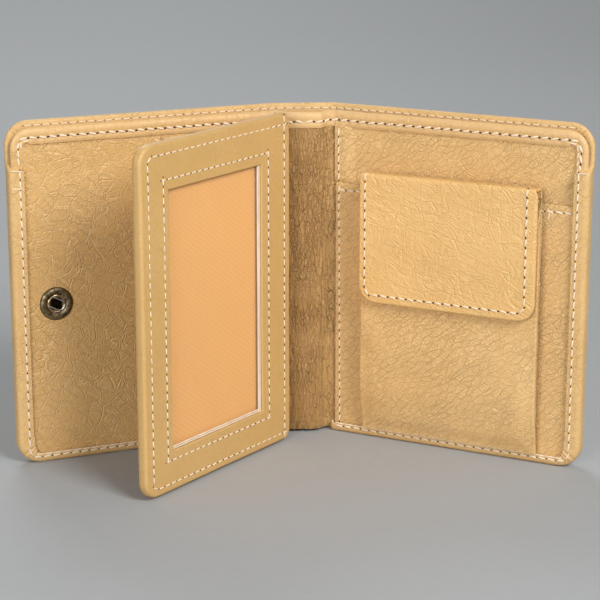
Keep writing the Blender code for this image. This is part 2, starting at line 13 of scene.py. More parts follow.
import bmesh
import bpy
from mathutils import Matrix, Vector, noise


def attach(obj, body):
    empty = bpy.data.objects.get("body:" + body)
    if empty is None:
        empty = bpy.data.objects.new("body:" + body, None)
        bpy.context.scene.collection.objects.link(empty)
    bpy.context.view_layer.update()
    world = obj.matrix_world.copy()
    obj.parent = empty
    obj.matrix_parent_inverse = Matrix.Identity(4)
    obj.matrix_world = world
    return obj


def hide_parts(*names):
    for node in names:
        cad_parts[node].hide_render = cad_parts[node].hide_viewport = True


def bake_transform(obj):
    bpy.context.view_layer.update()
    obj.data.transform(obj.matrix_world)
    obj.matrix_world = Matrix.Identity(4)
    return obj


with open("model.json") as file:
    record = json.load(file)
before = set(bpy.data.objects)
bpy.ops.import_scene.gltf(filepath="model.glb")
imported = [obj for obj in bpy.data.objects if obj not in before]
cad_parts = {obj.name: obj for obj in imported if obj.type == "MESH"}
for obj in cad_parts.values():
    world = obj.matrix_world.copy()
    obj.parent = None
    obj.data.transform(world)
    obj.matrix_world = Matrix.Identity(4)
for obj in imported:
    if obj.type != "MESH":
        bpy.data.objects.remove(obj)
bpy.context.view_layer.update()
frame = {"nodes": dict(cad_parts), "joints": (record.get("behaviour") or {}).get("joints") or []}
NODES = frame["nodes"]
JOINTS = {joint["name"]: joint for joint in frame["joints"]}
MM = 0.001

# %% [markdown]
# ## Coordinates of each leaf
#
# A cover or a page is easiest to think of lying flat: so far along from the fold, so deep below the
# outer skin, so high above the floor. One matrix per leaf turns those three numbers into a place in the
# room. The angles at which the leaves stand come from the joints' ranges, because a joint's lower limit
# is where its cover lies flat.

# %% Leaf matrices
FOLD_DEPTH = 0.45 * MM
HINGE_REACH = 4.6 * MM
LEFT_TURN = -math.radians(JOINTS["left_fold"]["range_deg"][0])
RIGHT_TURN = -math.radians(JOINTS["right_fold"]["range_deg"][0])
PAGE_TURN = math.pi / 2 - math.radians(JOINTS["page_turn"]["range_deg"][1])


def leaf_matrix(origin, along, inward, skin):
    """Columns: along the leaf, inwards from its skin, and up."""
    made = Matrix((along, inward, (0, 0, 1))).transposed().to_4x4()
    made.translation = Vector(origin) - skin * Vector(inward)
    return made


left_along = (-math.cos(LEFT_TURN), -math.sin(LEFT_TURN), 0)
left_inward = (math.sin(LEFT_TURN), -math.cos(LEFT_TURN), 0)
right_along = (math.cos(RIGHT_TURN), -math.sin(RIGHT_TURN), 0)
right_inward = (-math.sin(RIGHT_TURN), -math.cos(RIGHT_TURN), 0)
page_along = (-math.cos(PAGE_TURN), -math.sin(PAGE_TURN), 0)
page_facing = (math.sin(PAGE_TURN), -math.cos(PAGE_TURN), 0)
page_root = Vector(JOINTS["page_turn"]["pos_m"]) + Vector((0, -HINGE_REACH, 0))

LEFT = leaf_matrix(JOINTS["left_fold"]["pos_m"], left_along, left_inward, FOLD_DEPTH)
RIGHT = leaf_matrix(JOINTS["right_fold"]["pos_m"], right_along, right_inward, FOLD_DEPTH)
PAGE = leaf_matrix(page_root, page_along, page_facing, 0)
COVERS = {"left": LEFT, "right": RIGHT}
TURNS = {"left": LEFT_TURN, "right": RIGHT_TURN}
HANDS = {"left": -1, "right": 1}
CREASE = JOINTS["right_fold"]["pos_m"][0]


def extent(leaf, node):
    """Lowest and highest (along, depth, height) of a frame node in a leaf's coordinates."""
    back = leaf.inverted()
    places = [back @ vertex.co for vertex in NODES[node].data.vertices]
    low = Vector(min(place[axis] for place in places) for axis in range(3))
    high = Vector(max(place[axis] for place in places) for axis in range(3))
    return low, high


SHELL_HIGH = extent(LEFT, "left_outer_shell")[1]
PANEL_LOW, PANEL_HIGH = extent(LEFT, "left_inner_panel")
print("cover", [round(v / MM, 2) for v in SHELL_HIGH], "panel", [round(v / MM, 2) for v in PANEL_HIGH])

# %% [markdown]
# ## Camera
#
# The photograph looks a little down at the open wallet from the left of its middle, through a long lens
# that keeps the covers' edges nearly parallel. The camera stands where the edges of the two covers and
# of the page line up with the picture.

# %% Camera
CAMERA_PLACE = Vector((-40.0, -637.05, 218.8)) * MM
CAMERA_AIM = Vector((-0.84, 0.45, 43.86)) * MM


def stand_at(name, data, place, aim):
    """Puts a camera or a lamp at a place in the room, turned to what it looks at."""
    item = bpy.data.objects.new(name, data)
    item.location = place
    item.rotation_euler = (Vector(aim) - Vector(place)).to_track_quat("-Z", "Y").to_euler()
    bpy.context.scene.collection.objects.link(item)
    return item


camera_data = bpy.data.cameras.new("camera")
camera_data.lens = 120
camera_data.sensor_width = 36
camera_data.clip_start = 0.02
bpy.context.scene.camera = stand_at("camera", camera_data, CAMERA_PLACE, CAMERA_AIM)
print("camera distance in mm", round((CAMERA_AIM - CAMERA_PLACE).length / MM))

# %% [markdown]
# ## Light
#
# Soft light hides nothing and flatters leather: a wide lamp from the upper right, a weaker one from the
# left, one from behind that draws the top edges, and a pale sky that fills the folds. A single hard lamp
# would show the creases more, but it would throw shadows that the picture doesn't have.

# %% Lamps and sky
LAMP_AIM = (0, 0, 0.05)
LAMPS = {
    "key_lamp": ((0.5, -0.8, 0.72), 0.5, 10.2),
    "fill_lamp": ((-0.5, -0.95, 0.3), 0.5, 5.4),
    "back_lamp": ((-0.2, 0.9, 0.8), 0.6, 5),
}
for name, (place, width, watts) in LAMPS.items():
    lamp = bpy.data.lights.new(name, "AREA")
    lamp.shape = "DISK"
    lamp.size = width
    lamp.energy = watts
    stand_at(name, lamp, place, LAMP_AIM)
world = bpy.data.worlds.new("studio")
world.use_nodes = True
sky = world.node_tree.nodes["Background"]
sky.inputs["Color"].default_value = (1.0, 0.99, 0.97, 1)
sky.inputs["Strength"].default_value = 0.3
bpy.context.scene.world = world
bpy.context.scene.view_settings.view_transform = "Standard"
print("lamps", list(LAMPS))

# %% [markdown]
# ## Materials
#
# Every finish is a Principled shader with nodes for its grain. A short recipe class keeps the node code
# readable: add() makes a node and wires or sets its inputs by name, and mix() blends two colours. A
# ready texture picture would be quicker, but nodes stay sharp at any distance and need no file.

# %% Recipe for a material


def rgb(colour):
    """A colour of three numbers from 0 to 255, as a picture holds them, made linear and opaque."""
    shares = [channel / 255 for channel in colour]
    linear = [share / 12.92 if share <= 0.04045 else ((share + 0.055) / 1.055) ** 2.4 for share in shares]
    return (*linear, 1.0)


class Recipe:
    """A material under construction."""

    def __init__(self, name, colour, roughness, metallic=0.0):
        self.material = bpy.data.materials.new(name)
        self.material.use_nodes = True
        self.material.diffuse_color = colour
        self.tree = self.material.node_tree
        self.shader = self.tree.nodes["Principled BSDF"]
        self.shader.inputs["Base Color"].default_value = colour
        self.shader.inputs["Roughness"].default_value = roughness
        self.shader.inputs["Metallic"].default_value = metallic

    def feed(self, socket, value):
        if isinstance(value, bpy.types.NodeSocket):
            self.tree.links.new(value, socket)
        else:
            socket.default_value = value

    def add(self, kind, inputs=None, **settings):
        node = self.tree.nodes.new(kind)
        for key, value in settings.items():
            setattr(node, key, value)
        for key, value in (inputs or {}).items():
            self.feed(node.inputs[key], value)
        return node

    def places(self):
        """The leaf's own coordinates in metres, which stay on the leather when it bends."""
        return self.add("ShaderNodeAttribute", attribute_name="leaf_place").outputs["Vector"]

    def object_places(self):
        return self.add("ShaderNodeTexCoord").outputs["Object"]

    def mapped(self, vector, size, turn=0.0):
        """Coordinates in which one unit is the given real size, turned in the plane of the leaf."""
        inputs = {"Vector": vector, "Scale": size, "Rotation": (0, turn, 0)}
        return self.add("ShaderNodeMapping", inputs, vector_type="TEXTURE").outputs["Vector"]

    def noise(self, place, size, detail=2.0, roughness=0.5, output="Fac"):
        """Clouds of a real size in metres, or of one size for each axis."""
        sizes = size if isinstance(size, tuple) else (size, size, size)
        inputs = {"Vector": self.mapped(place, sizes), "Scale": 1.0}
        inputs.update({"Detail": detail, "Roughness": roughness})
        return self.add("ShaderNodeTexNoise", inputs).outputs[output]

    def cell_edges(self, vector, scale):
        """Distance to the nearest edge in a texture of cells."""
        inputs = {"Vector": vector, "Scale": scale}
        return self.add("ShaderNodeTexVoronoi", inputs, feature="DISTANCE_TO_EDGE").outputs["Distance"]

    def ramp(self, value, low, high, to_low=0.0, to_high=1.0):
        inputs = {"Value": value, "From Min": low, "From Max": high, "To Min": to_low, "To Max": to_high}
        return self.add("ShaderNodeMapRange", inputs, interpolation_type="SMOOTHSTEP").outputs["Result"]

    def maths(self, operation, first, second):
        return self.add("ShaderNodeMath", {0: first, 1: second}, operation=operation).outputs[0]

    def vectors(self, operation, first, second):
        return self.add("ShaderNodeVectorMath", {0: first, 1: second}, operation=operation).outputs[0]

    def total(self, *parts):
        """The sum of values, each times its share."""
        made = 0.0
        for value, share in parts:
            inputs = {0: value, 1: share, 2: made}
            made = self.add("ShaderNodeMath", inputs, operation="MULTIPLY_ADD").outputs[0]
        return made

    def mix(self, factor, first, second):
        node = self.add("ShaderNodeMix", {"Factor": factor}, data_type="RGBA")
        self.feed(node.inputs[6], first)
        self.feed(node.inputs[7], second)
        return node.outputs[2]

    def bump(self, height, distance):
        inputs = {"Height": height, "Distance": distance, "Strength": 1.0}
        return self.add("ShaderNodeBump", inputs).outputs["Normal"]

    def finish(self, colour=None, roughness=None, normal=None):
        for key, value in (("Base Color", colour), ("Roughness", roughness), ("Normal", normal)):
            if value is not None:
                self.feed(self.shader.inputs[key], value)
        return self.material


print("mid grey, linear", [round(share, 3) for share in rgb((128, 128, 128))])

# %% [markdown]
# ### Leather
#
# The leather is tan and satin, with a crumpled crease grain: cells a few millimetres wide, drawn out in
# one direction, with finer cells inside them. A picture of real leather would be easy, but it would repeat
# and need a file. A warped texture of cells gives such lines where the distance to a cell's edge is small.
# They lower the surface and change the colour together, and the colour is painted light: over the panels
# and the flap the creases are paler, a painted highlight of lit crease edges, and on the spine, border,
# outside and page they are darker, painted shade in the creases. The spine is also painted lighter towards
# each cover's edge, so that its middle reads as shaded.

# %% Leather finish
WARP_SIZE = 11 * MM
PATCH_SIZE = 12 * MM
CLOUD_SIZE = 30 * MM
PORE_SIZE = 0.7 * MM
# Where along the spine's leaf the painted light fades in: the spine is painted darker, as shade, towards
# its middle and lighter towards the cover's edge.
SPINE_LIT_SIDE = (-6.5 * MM, -2.5 * MM)


def leather(name, base, crease, light, cell, lean, depth, smoothness, cross=68.755, lit_side_tone=None):
    """Colours are from 0 to 255. cell is the crease cells' size in mm along the lean, through the leaf, and
    up. The angles are in degrees: lean, and cross from the first set of creases to the second. depth is in
    mm. crease is the colour in the creases: a painted highlight where it is paler than base, and painted
    shade where it is darker. The last colour, for the spine, is painted light: lighter towards the cover's
    edge, so that the spine's middle stays darker as painted shade."""
    recipe = Recipe(name, rgb(base), smoothness)
    place = recipe.places()
    drift = recipe.noise(place, WARP_SIZE, 1.0, output="Color")
    warp = recipe.vectors("MULTIPLY", recipe.vectors("SUBTRACT", drift, (0.5, 0.5, 0.5)), (1.2, 1.2, 1.2))
    along, through, up = [side * MM for side in cell]
    first = recipe.mapped(place, (along, through, up), math.radians(lean))
    second = recipe.mapped(place, (along * 1.4, through, up * 0.9), math.radians(lean + cross))
    warped = recipe.vectors("ADD", first, warp)
    wide = recipe.cell_edges(warped, 1.0)
    close = recipe.cell_edges(warped, 2.3)
    other = recipe.cell_edges(recipe.vectors("ADD", second, warp), 1.0)
    lips = recipe.ramp(wide, 0.06, 0.17, 0.0, 0.4)
    broad = recipe.maths("SUBTRACT", recipe.ramp(wide, 0.0, 0.055), lips)
    narrow = recipe.ramp(close, 0.0, 0.1)
    wrinkle = recipe.ramp(other, 0.0, 0.06)
    whole = recipe.total((broad, 0.46), (narrow, 0.28), (wrinkle, 0.3))
    presence = recipe.ramp(recipe.noise(place, PATCH_SIZE), 0.3, 0.6, 0.6, 1.0)
    creased = recipe.maths("MULTIPLY", recipe.maths("SUBTRACT", 1.0, whole), presence)
    grain_height = recipe.maths("SUBTRACT", 1.0, creased)
    pores = recipe.noise(place, PORE_SIZE, 3.0, 0.65)
    normal = recipe.bump(recipe.total((grain_height, 1.0), (pores, 0.3)), depth * MM)
    clouds = recipe.noise(place, CLOUD_SIZE, 3.0, 0.55)
    tone = recipe.mix(recipe.ramp(clouds, 0.35, 0.68), rgb(base), rgb(light))
    # Painted light: the spine's leather turns lighter towards the cover's edge and stays darker, as painted
    # shade, towards the spine's middle.
    if lit_side_tone:
        across = recipe.add("ShaderNodeSeparateXYZ", {"Vector": place}).outputs["X"]
        tone = recipe.mix(recipe.ramp(across, *SPINE_LIT_SIDE), tone, rgb(lit_side_tone))
    # Painted light: the colour follows the grain's height, so the creases take the crease colour, a painted
    # highlight where it is paler than the leather and painted shade where it is darker.
    colour = recipe.mix(recipe.ramp(grain_height, 0.1, 0.95), rgb(crease), tone)
    sheen = recipe.ramp(grain_height, 0.2, 1.0, smoothness + 0.12, smoothness - 0.02)
    return recipe.finish(colour, sheen, normal)


# Rows: plain colour, crease colour, lighter cloud colour, cell size, lean, relief depth and roughness, and
# for the spine the cross angle and its lit side colour. The crease colour is painted light: paler than the
# plain colour on the panels and flap, a painted highlight, and darker elsewhere, painted shade. The spine's
# last colour is painted light as well.
LEATHERS = {
    "tan_leather": ((217, 175, 114), (234, 197, 141), (223, 182, 122), (3.4, 3, 2), -38, 0.34, 0.4),
    "creased_leather": ((204, 162, 101), (231, 193, 137), (210, 168, 108), (4.7, 3, 3.3), -35, 0.34, 0.39),
    "flap_leather": ((220, 176, 110), (234, 194, 132), (225, 182, 117), (9.5, 4, 2.6), 24, 0.25, 0.42),
    "border_leather": ((217, 177, 120), (206, 165, 107), (221, 182, 127), (2.8, 3, 2.2), 30, 0.14, 0.46),
    "outside_leather": ((212, 172, 113), (201, 160, 100), (217, 179, 120), (3.4, 3, 2.4), -30, 0.2, 0.46),
    "page_leather": ((202, 162, 100), (194, 153, 91), (206, 167, 106), (4, 3, 3), 50, 0.07, 0.48),
    "spine_leather": ((172, 130, 76), (124, 86, 43), (184, 142, 86), (1.3, 3, 4.2), 7, 0.44, 0.4, -22.918,
                      (194, 152, 95)),
}
TAN, CREASED_TAN, FLAP_TAN, BORDER_TAN, OUTSIDE_TAN, PAGE_TAN, SPINE_BROWN = [
    leather(name, *row) for name, row in LEATHERS.items()]
print("leathers", list(LEATHERS))

# %% [markdown]
# ### Cloth, thread, plastic and metal
#
# The small finishes are plainer. A raw leather edge is pale and fibrous. The cloth behind the window is
# a fine slanting twill, which a turned wave pattern gives. The press stud is antique brass, mottled by
# noise and rubbed bright where fingers reach it, and its hollow is a near-black metal, painted shade.
# Thread, needle holes, raw edges, board and paper are two colours mixed by noise, so one function makes
# them all; the needle holes are dark beads of painted shade.

# %% Other finishes


def mottled(name, colours, size, roughness, relief=0.0, detail=2.0, grain=0.5, on_leaf=False):
    """Two colours mixed by noise. colours are the plain, dark and bright ones, and relief is in mm."""
    plain, dark, bright = [rgb(colour) for colour in colours]
    recipe = Recipe(name, plain, roughness)
    shade = recipe.noise(recipe.places() if on_leaf else recipe.object_places(), size, detail, grain)
    normal = recipe.bump(shade, relief * MM) if relief else None
    return recipe.finish(recipe.mix(shade, dark, bright), None, normal)


def woven(name, base, dark, thread, turn=0.0, slope=0.12):
    """Cloth with threads of a width in metres, turned by an angle in degrees. slope is in mm."""
    recipe = Recipe(name, rgb(base), 0.82)
    place = recipe.mapped(recipe.places(), (thread, thread, thread), math.radians(turn))
    warp = recipe.add("ShaderNodeTexWave", {"Vector": place, "Scale": 0.5, "Distortion": 0.4},
                      bands_direction="X").outputs["Fac"]
    weft = recipe.add("ShaderNodeTexWave", {"Vector": place, "Scale": 0.25, "Distortion": 0.6},
                      bands_direction="Z").outputs["Fac"]
    weave = recipe.total((warp, 0.75), (weft, 0.25))
    clouds = recipe.noise(recipe.places(), CLOUD_SIZE)
    brighter = (*(channel * 1.06 for channel in rgb(base)[:3]), 1)
    tint = recipe.mix(recipe.ramp(clouds, 0.3, 0.7), rgb(base), brighter)
    colour = recipe.mix(recipe.ramp(weave, 0.1, 0.9), rgb(dark), tint)
    return recipe.finish(colour, None, recipe.bump(weave, slope * MM))


def metal(name, bright, dark, size, roughness):
    recipe = Recipe(name, rgb(bright), roughness, 1.0)
    place = recipe.object_places()
    stain = recipe.noise(place, size, 4.0, 0.6)
    scratch = recipe.noise(place, (size, size * 0.2, size * 0.05))
    colour = recipe.mix(recipe.ramp(stain, 0.35, 0.65), rgb(dark), rgb(bright))
    rough = recipe.ramp(stain, 0.3, 0.7, roughness + 0.16, roughness)
    return recipe.finish(colour, rough, recipe.bump(scratch, 0.02 * MM))


def clear_plastic():
    recipe = Recipe("clear_sheet", (0.98, 0.98, 0.97, 1), 0.07)
    waves = recipe.noise(recipe.places(), (20 * MM, 20 * MM, 12 * MM))
    recipe.shader.inputs["Alpha"].default_value = 0.05
    recipe.shader.inputs["IOR"].default_value = 1.45
    return recipe.finish(None, None, recipe.bump(waves, 0.12 * MM))


RAW_EDGE = mottled("cut_edge", ((232, 208, 168), (206, 172, 122), (246, 228, 196)), 0.6 * MM, 0.8, 0.1, 3.0,
                   on_leaf=True)
BILL_CLOTH = woven("lining_cloth", (150, 122, 92), (112, 88, 62), 0.5 * MM)
PEACH_TWILL = woven("backing_cloth", (233, 170, 80), (223, 158, 69), 1.1 * MM, -35, 0.05)
THREAD = mottled("sewing_thread", ((238, 222, 196), (212, 184, 150), (252, 240, 222)), 0.4 * MM, 0.62, 0.12)
# Needle holes, and the gap beside the window's welt, are dark beads: painted shade in place of a hole.
HOLE_SHADE = mottled("needle_hole_shade", ((58, 36, 18), (40, 24, 12), (92, 60, 32)), 1.0 * MM, 0.9)
BRASS = metal("antique_brass", (150, 136, 106), (86, 74, 54), 1.2 * MM, 0.36)
BRIGHT_BRASS = metal("rubbed_brass", (204, 184, 148), (140, 118, 88), 1.2 * MM, 0.26)
# Near-black metal for the socket's hollow and the cap behind it: painted shade.
CAVITY_SHADE = metal("cavity_shade", (38, 30, 22), (16, 12, 9), 1.0 * MM, 0.5)
STEEL = metal("steel", (206, 204, 200), (150, 148, 146), 1.5 * MM, 0.28)
CLEAR = clear_plastic()
# Pale cream for the sheet's cut edge and welt: the weld's own colour, and partly a painted highlight along
# the clear edge.
SHEET_EDGE = mottled("sheet_edge", ((226, 208, 182), (206, 180, 148), (240, 228, 208)),
                     (2 * MM, 2 * MM, 6 * MM), 0.25, detail=3.0, on_leaf=True)
BOARD = mottled("fibre_board", ((150, 132, 108), (118, 100, 78), (172, 154, 128)),
                (2 * MM, 2 * MM, 0.6 * MM), 0.9, 0.08, 4.0, 0.7)
print("materials", len(bpy.data.materials))

# %% [markdown]
# ## Helpers for sheets of leather
#
# A real ply is cut flat, creased, turned over at its edges and sewn. The same steps work in mesh code. A
# grid is laid out in the leaf's coordinates, its corners are rounded, its border edges are extruded step
# by step round the fold, the surface is creased, and a Solidify modifier gives it its thickness. The
# rim of that modifier takes the second material, so a cut edge shows pale fibres.

# %% Small maths


def smooth(low, high, value):
    """0 at low, 1 at high, and an even S between them."""
    share = min(1.0, max(0.0, (value - low) / (high - low)))
    return share * share * (3 - 2 * share)


def blend_between(first, second, share):
    return first + (second - first) * share


def lines(*stops):
    """Places of grid lines: a place, the spacing after it, the next place, and so on, all in mm."""
    places = [stops[0] * MM]
    for first, spacing, last in zip(stops[0::2], stops[1::2], stops[2::2]):
        count = max(1, round((last - first) / spacing))
        places += [(first + (last - first) * step / count) * MM for step in range(1, count + 1)]
    return places


print("lines from 0 to 10 mm, 2.5 mm apart:", len(lines(0, 2.5, 10)))

# %% [markdown]
# ### The flat grid
#
# A cut ply is a flat shape with rounded corners. It could be a filled outline, but an even grid bends and
# creases well everywhere. So its lines are laid where the shape needs them, and the squares at its corners
# are pushed onto arcs. Each point also learns which way the outline lies from it.

# %% Flat grid with rounded corners


def round_off(x, z, low, high, radii):
    """Moves a point in the square of a rounded corner onto the corner's arcs. Radii run from the
    lower left, anticlockwise. Gives the point and the outward direction there."""
    corners = ((low[0], low[1], 1, 1), (high[0], low[1], -1, 1), (high[0], high[1], -1, -1),
               (low[0], high[1], 1, -1))
    for (corner_x, corner_z, side_x, side_z), radius in zip(corners, radii):
        if radius <= 0:
            continue
        middle_x = corner_x + side_x * radius
        middle_z = corner_z + side_z * radius
        across = (middle_x - x) * side_x / radius
        above = (middle_z - z) * side_z / radius
        if across > 1e-6 and above > 1e-6:
            scale = max(across, above) / math.hypot(across, above)
            x = middle_x - side_x * across * scale * radius
            z = middle_z - side_z * above * scale * radius
            outward = Vector((x - middle_x, 0, z - middle_z)).normalized()
            return x, z, outward
    gaps = {(-1, 0): x - low[0], (1, 0): high[0] - x, (0, -1): z - low[1], (0, 1): high[1] - z}
    nearest = min(gaps, key=gaps.get)
    return x, z, Vector((nearest[0], 0, nearest[1]))


def field(lines_x, lines_z, depth, radii=(0, 0, 0, 0)):
    """An upright grid on the given lines, facing the way depth grows. radii are those of its corners."""
    bm = bmesh.new()
    columns, rows = len(lines_x) - 1, len(lines_z) - 1
    bmesh.ops.create_grid(bm, x_segments=columns, y_segments=rows, size=0.5)
    outward = bm.verts.layers.float_vector.new("outward")
    low, high = (lines_x[0], lines_z[0]), (lines_x[-1], lines_z[-1])
    for vertex in bm.verts:
        x = lines_x[round((vertex.co.x + 0.5) * columns)]
        z = lines_z[round((vertex.co.y + 0.5) * rows)]
        x, z, vertex[outward] = round_off(x, z, low, high, radii)
        vertex.co = (x, depth, z)
    bmesh.ops.reverse_faces(bm, faces=bm.faces)
    return bm


def spread(low, high, spacing, depth, radii=(0, 0, 0, 0), trim=0):
    """A field between two corners of a space, with its lines so many mm apart. trim takes some mm off
    its left and right."""
    columns = lines(low.x / MM + trim, spacing, high.x / MM - trim)
    return field(columns, lines(low.z / MM, spacing, high.z / MM), depth, radii)


def point_outward(bm, vertices, outward):
    """Says which way the outline lies from these points: one direction, or a function of the place."""
    layer = bm.verts.layers.float_vector["outward"]
    for vertex in vertices:
        vertex[layer] = outward(vertex.co) if callable(outward) else outward


def to_nearer_side(low, high):
    """A function for point_outward, for a ply with edges to turn on its left and right."""
    return lambda place: (-1 if place.x < (low.x + high.x) / 2 else 1, 0, 0)


corner_spot = round_off(0, 0, (0, 0), (1, 1), (0.5, 0, 0, 0))
print("a square's corner, rounded, moves to", [round(value, 3) for value in corner_spot[:2]])

# %% [markdown]
# ### Turned edges
#
# A leather worker pares an edge, folds it over a line and presses it flat. Here the grid's border edges are
# extruded step by step along the same path, so the fold is round and stays joined to the face. A bevel
# would soften the corner too, but it couldn't lay a strip on the back.

# %% Turn an edge over
STRIP_STEPS = 4
THIN_INSET = 0.4 * MM


def folded(width, thick, radius, steps=6):
    """The path of a turned edge as (outwards, backwards) pairs: a round corner, the edge, a second round
    corner and the turned strip. Outwards is counted from the finished edge."""
    path = []
    for step in range(steps + 1):
        angle = step / steps * math.pi / 2
        path.append((radius * (math.sin(angle) - 1), radius * (1 - math.cos(angle))))
    for step in range(steps + 1):
        angle = step / steps * math.pi / 2
        path.append((radius * (math.cos(angle) - 1), thick - radius * (1 - math.sin(angle))))
    for step in range(1, STRIP_STEPS + 1):
        path.append((-blend_between(radius, width, step / STRIP_STEPS), thick))
    return path


def between_paths(first, last, share):
    """A path that is a share of the way from one path to another with as many steps."""
    return [(blend_between(a[0], b[0], share), blend_between(a[1], b[1], share))
            for a, b in zip(first, last)]


def turn_edges(bm, edges, inset, section, way=1, ripple=None):
    """Extrudes border edges along a path. section(base) gives the path at a place on the finished
    outline, and way says whether the strip goes deeper or comes back. ripple adds to a place."""
    outward = bm.verts.layers.float_vector["outward"]
    start = bm.verts.layers.float_vector.get("base") or bm.verts.layers.float_vector.new("base")
    for vertex in ends_of(edges):
        vertex[start] = vertex.co + vertex[outward] * inset
    count = len(section(Vector((0, 0, 0))))
    for step in range(count):
        grown = bmesh.ops.extrude_edge_only(bm, edges=edges)["geom"]
        fresh = {item for item in grown if isinstance(item, bmesh.types.BMVert)}
        for vertex in fresh:
            base = vertex[start]
            out, back = section(base)[step]
            vertex.co = base + vertex[outward] * out + Vector((0, way * back, 0))
            if ripple:
                vertex.co += ripple(base, vertex[outward], step / (count - 1))
        edges = [item for item in grown if isinstance(item, bmesh.types.BMEdge)
                 and item.verts[0] in fresh and item.verts[1] in fresh]


def border(bm, test):
    """Border edges whose middle passes the test."""
    return [edge for edge in bm.edges
            if edge.is_boundary and test((edge.verts[0].co + edge.verts[1].co) / 2)]


def ends_of(edges):
    return {vertex for edge in edges for vertex in edge.verts}


def turn_thin_edge(bm, test, outward):
    """Turns the border edges that pass the test to the back of a thin ply."""
    edges = border(bm, test)
    point_outward(bm, ends_of(edges), outward)
    turn_edges(bm, edges, THIN_INSET, lambda base: folded(2.0 * MM, 0.7 * MM, 0.35 * MM, 3), -1)


print("steps round a turned edge", len(folded(2.0 * MM, 0.7 * MM, 0.35 * MM)))

# %% [markdown]
# ### Creases in the surface
#
# Handled leather has soft undulations with sharper creases across them. Both are in the mesh, so that
# they shade in every light: noise gives the undulation, and a crease runs wherever a second, stretched
# noise passes through nought. They fade towards the seams, where stitches hold the leather flat.

# %% Crease the field


def crease_depth(place, size, lean, seed):
    """From 0, smooth, to 1, at the bottom of a crease."""
    across = place.x * math.cos(lean) + place.z * math.sin(lean)
    up = place.z * math.cos(lean) - place.x * math.sin(lean)
    spot = Vector((across / (size * 2.4), seed, up / size))
    sway = noise.noise(Vector((place.x / size / 3, seed + 7, place.z / size / 3)))
    first = noise.noise(spot + Vector((sway, 0, sway)) * 0.8)
    second = noise.noise(spot * 1.9 + Vector((3.1, 5.7, sway)))
    return max(math.exp(-(first / 0.11) ** 2), 0.6 * math.exp(-(second / 0.13) ** 2))


# Size of the creases, lean in radians, depth of the waves and depth of the creases. Lengths are in mm.
CREASES = {
    "outside": (7, -0.5, 0.2, 0.1),
    "left panel": (4.2, -0.7, 0.12, 0.03),
    "right panel": (4.2, 0.6, 0.12, 0.03),
    "coin pocket": (3.6, 0.9, 0.08, 0.02),
    "flap": (5.0, -0.42, 0.1, 0.02),
    "page back": (5, 0.6, 0.12, 0.1),
}


def crumple(bm, calm, kind, seed, way=1):
    """Lowers the surface into waves and creases. calm(place) is 0 where the leather is held flat."""
    size, lean, waves, creases = CREASES[kind]
    for vertex in bm.verts:
        place = vertex.co
        free = calm(place)
        if free <= 0:
            continue
        swell = noise.noise(Vector((place.x / (17 * MM), seed + 2.5, place.z / (21 * MM))))
        crease = crease_depth(place, size * MM, lean, seed)
        drop = waves * MM * (0.5 - 0.5 * swell) + creases * MM * crease
        vertex.co.y -= way * drop * free


def held_inside(low, high, near, far):
    """A calm function: 0 within near of the outline, 1 beyond far."""

    def calm(place):
        gap = min(place.x - low[0], high[0] - place.x, place.z - low[1], high[1] - place.z)
        return smooth(near, far, gap)

    return calm


print("kinds of creases", list(CREASES))

# %% [markdown]
# ### From a grid to a piece
#
# A grid is put in its place by its leaf's matrix or by a bend, and a Solidify modifier gives the ply its
# thickness. The modifier is applied at once, because the joints move the finished mesh. The surface is
# shaded smooth, except where two faces meet at a sharp angle.

# %% Finish a piece


def settle(piece):
    """Replaces a piece's mesh by what its modifiers make of it."""
    bpy.context.view_layer.update()
    graph = bpy.context.evaluated_depsgraph_get()
    made = bpy.data.meshes.new_from_object(piece.evaluated_get(graph))
    piece.modifiers.clear()
    piece.data = made


def make_piece(bm, name, leaf, finishes, thickness, bend=None, sharp=40):
    """Places the mesh in the room and gives it thickness towards its back. Each point keeps its flat
    place as an attribute, which the leather patterns read, so that they bend with the leather."""
    marks = bm.verts.layers.float_vector.new("leaf_place")
    for vertex in bm.verts:
        vertex[marks] = vertex.co
        vertex.co = bend(vertex.co) if bend else leaf @ vertex.co
    for used in ("outward", "base"):
        layer = bm.verts.layers.float_vector.get(used)
        if layer:
            bm.verts.layers.float_vector.remove(layer)
    if leaf.determinant() < 0:
        bmesh.ops.reverse_faces(bm, faces=bm.faces)
    mesh = bpy.data.meshes.new(name)
    bm.to_mesh(mesh)
    bm.free()
    piece = bpy.data.objects.new(name, mesh)
    bpy.context.scene.collection.objects.link(piece)
    for finish in finishes:
        mesh.materials.append(finish)
    if thickness:
        solid = piece.modifiers.new("Thickness", "SOLIDIFY")
        solid.thickness = thickness
        solid.offset = -1
        solid.material_offset_rim = len(finishes) - 1
        settle(piece)
        piece.data.name = name
    piece.data.shade_smooth()
    piece.data.set_sharp_from_angle(angle=math.radians(sharp))
    return piece


def shaped(columns, rows, place):
    """A grid whose points are put in place by their column and row numbers."""
    bm = bmesh.new()
    bmesh.ops.create_grid(bm, x_segments=columns, y_segments=rows, size=0.5)
    for vertex in bm.verts:
        column = round((vertex.co.x + 0.5) * columns)
        row = round((vertex.co.y + 0.5) * rows)
        vertex.co = place(column, row)
    return bm


# %% [markdown]
# ## Stitches
#
# Thick pale thread is sewn through every seam. Each visible stitch is a short bead of thread that leans a
# little, as a lock stitch does, with a needle hole at each end, drawn as a flat dark bead that is painted
# shade. A dashed line in the material would be cheaper, but thread stands proud of the leather and catches
# the light, so each one is a small stretched sphere of a few dozen faces.

# %% Stitch rows
ARC_STEPS = 8


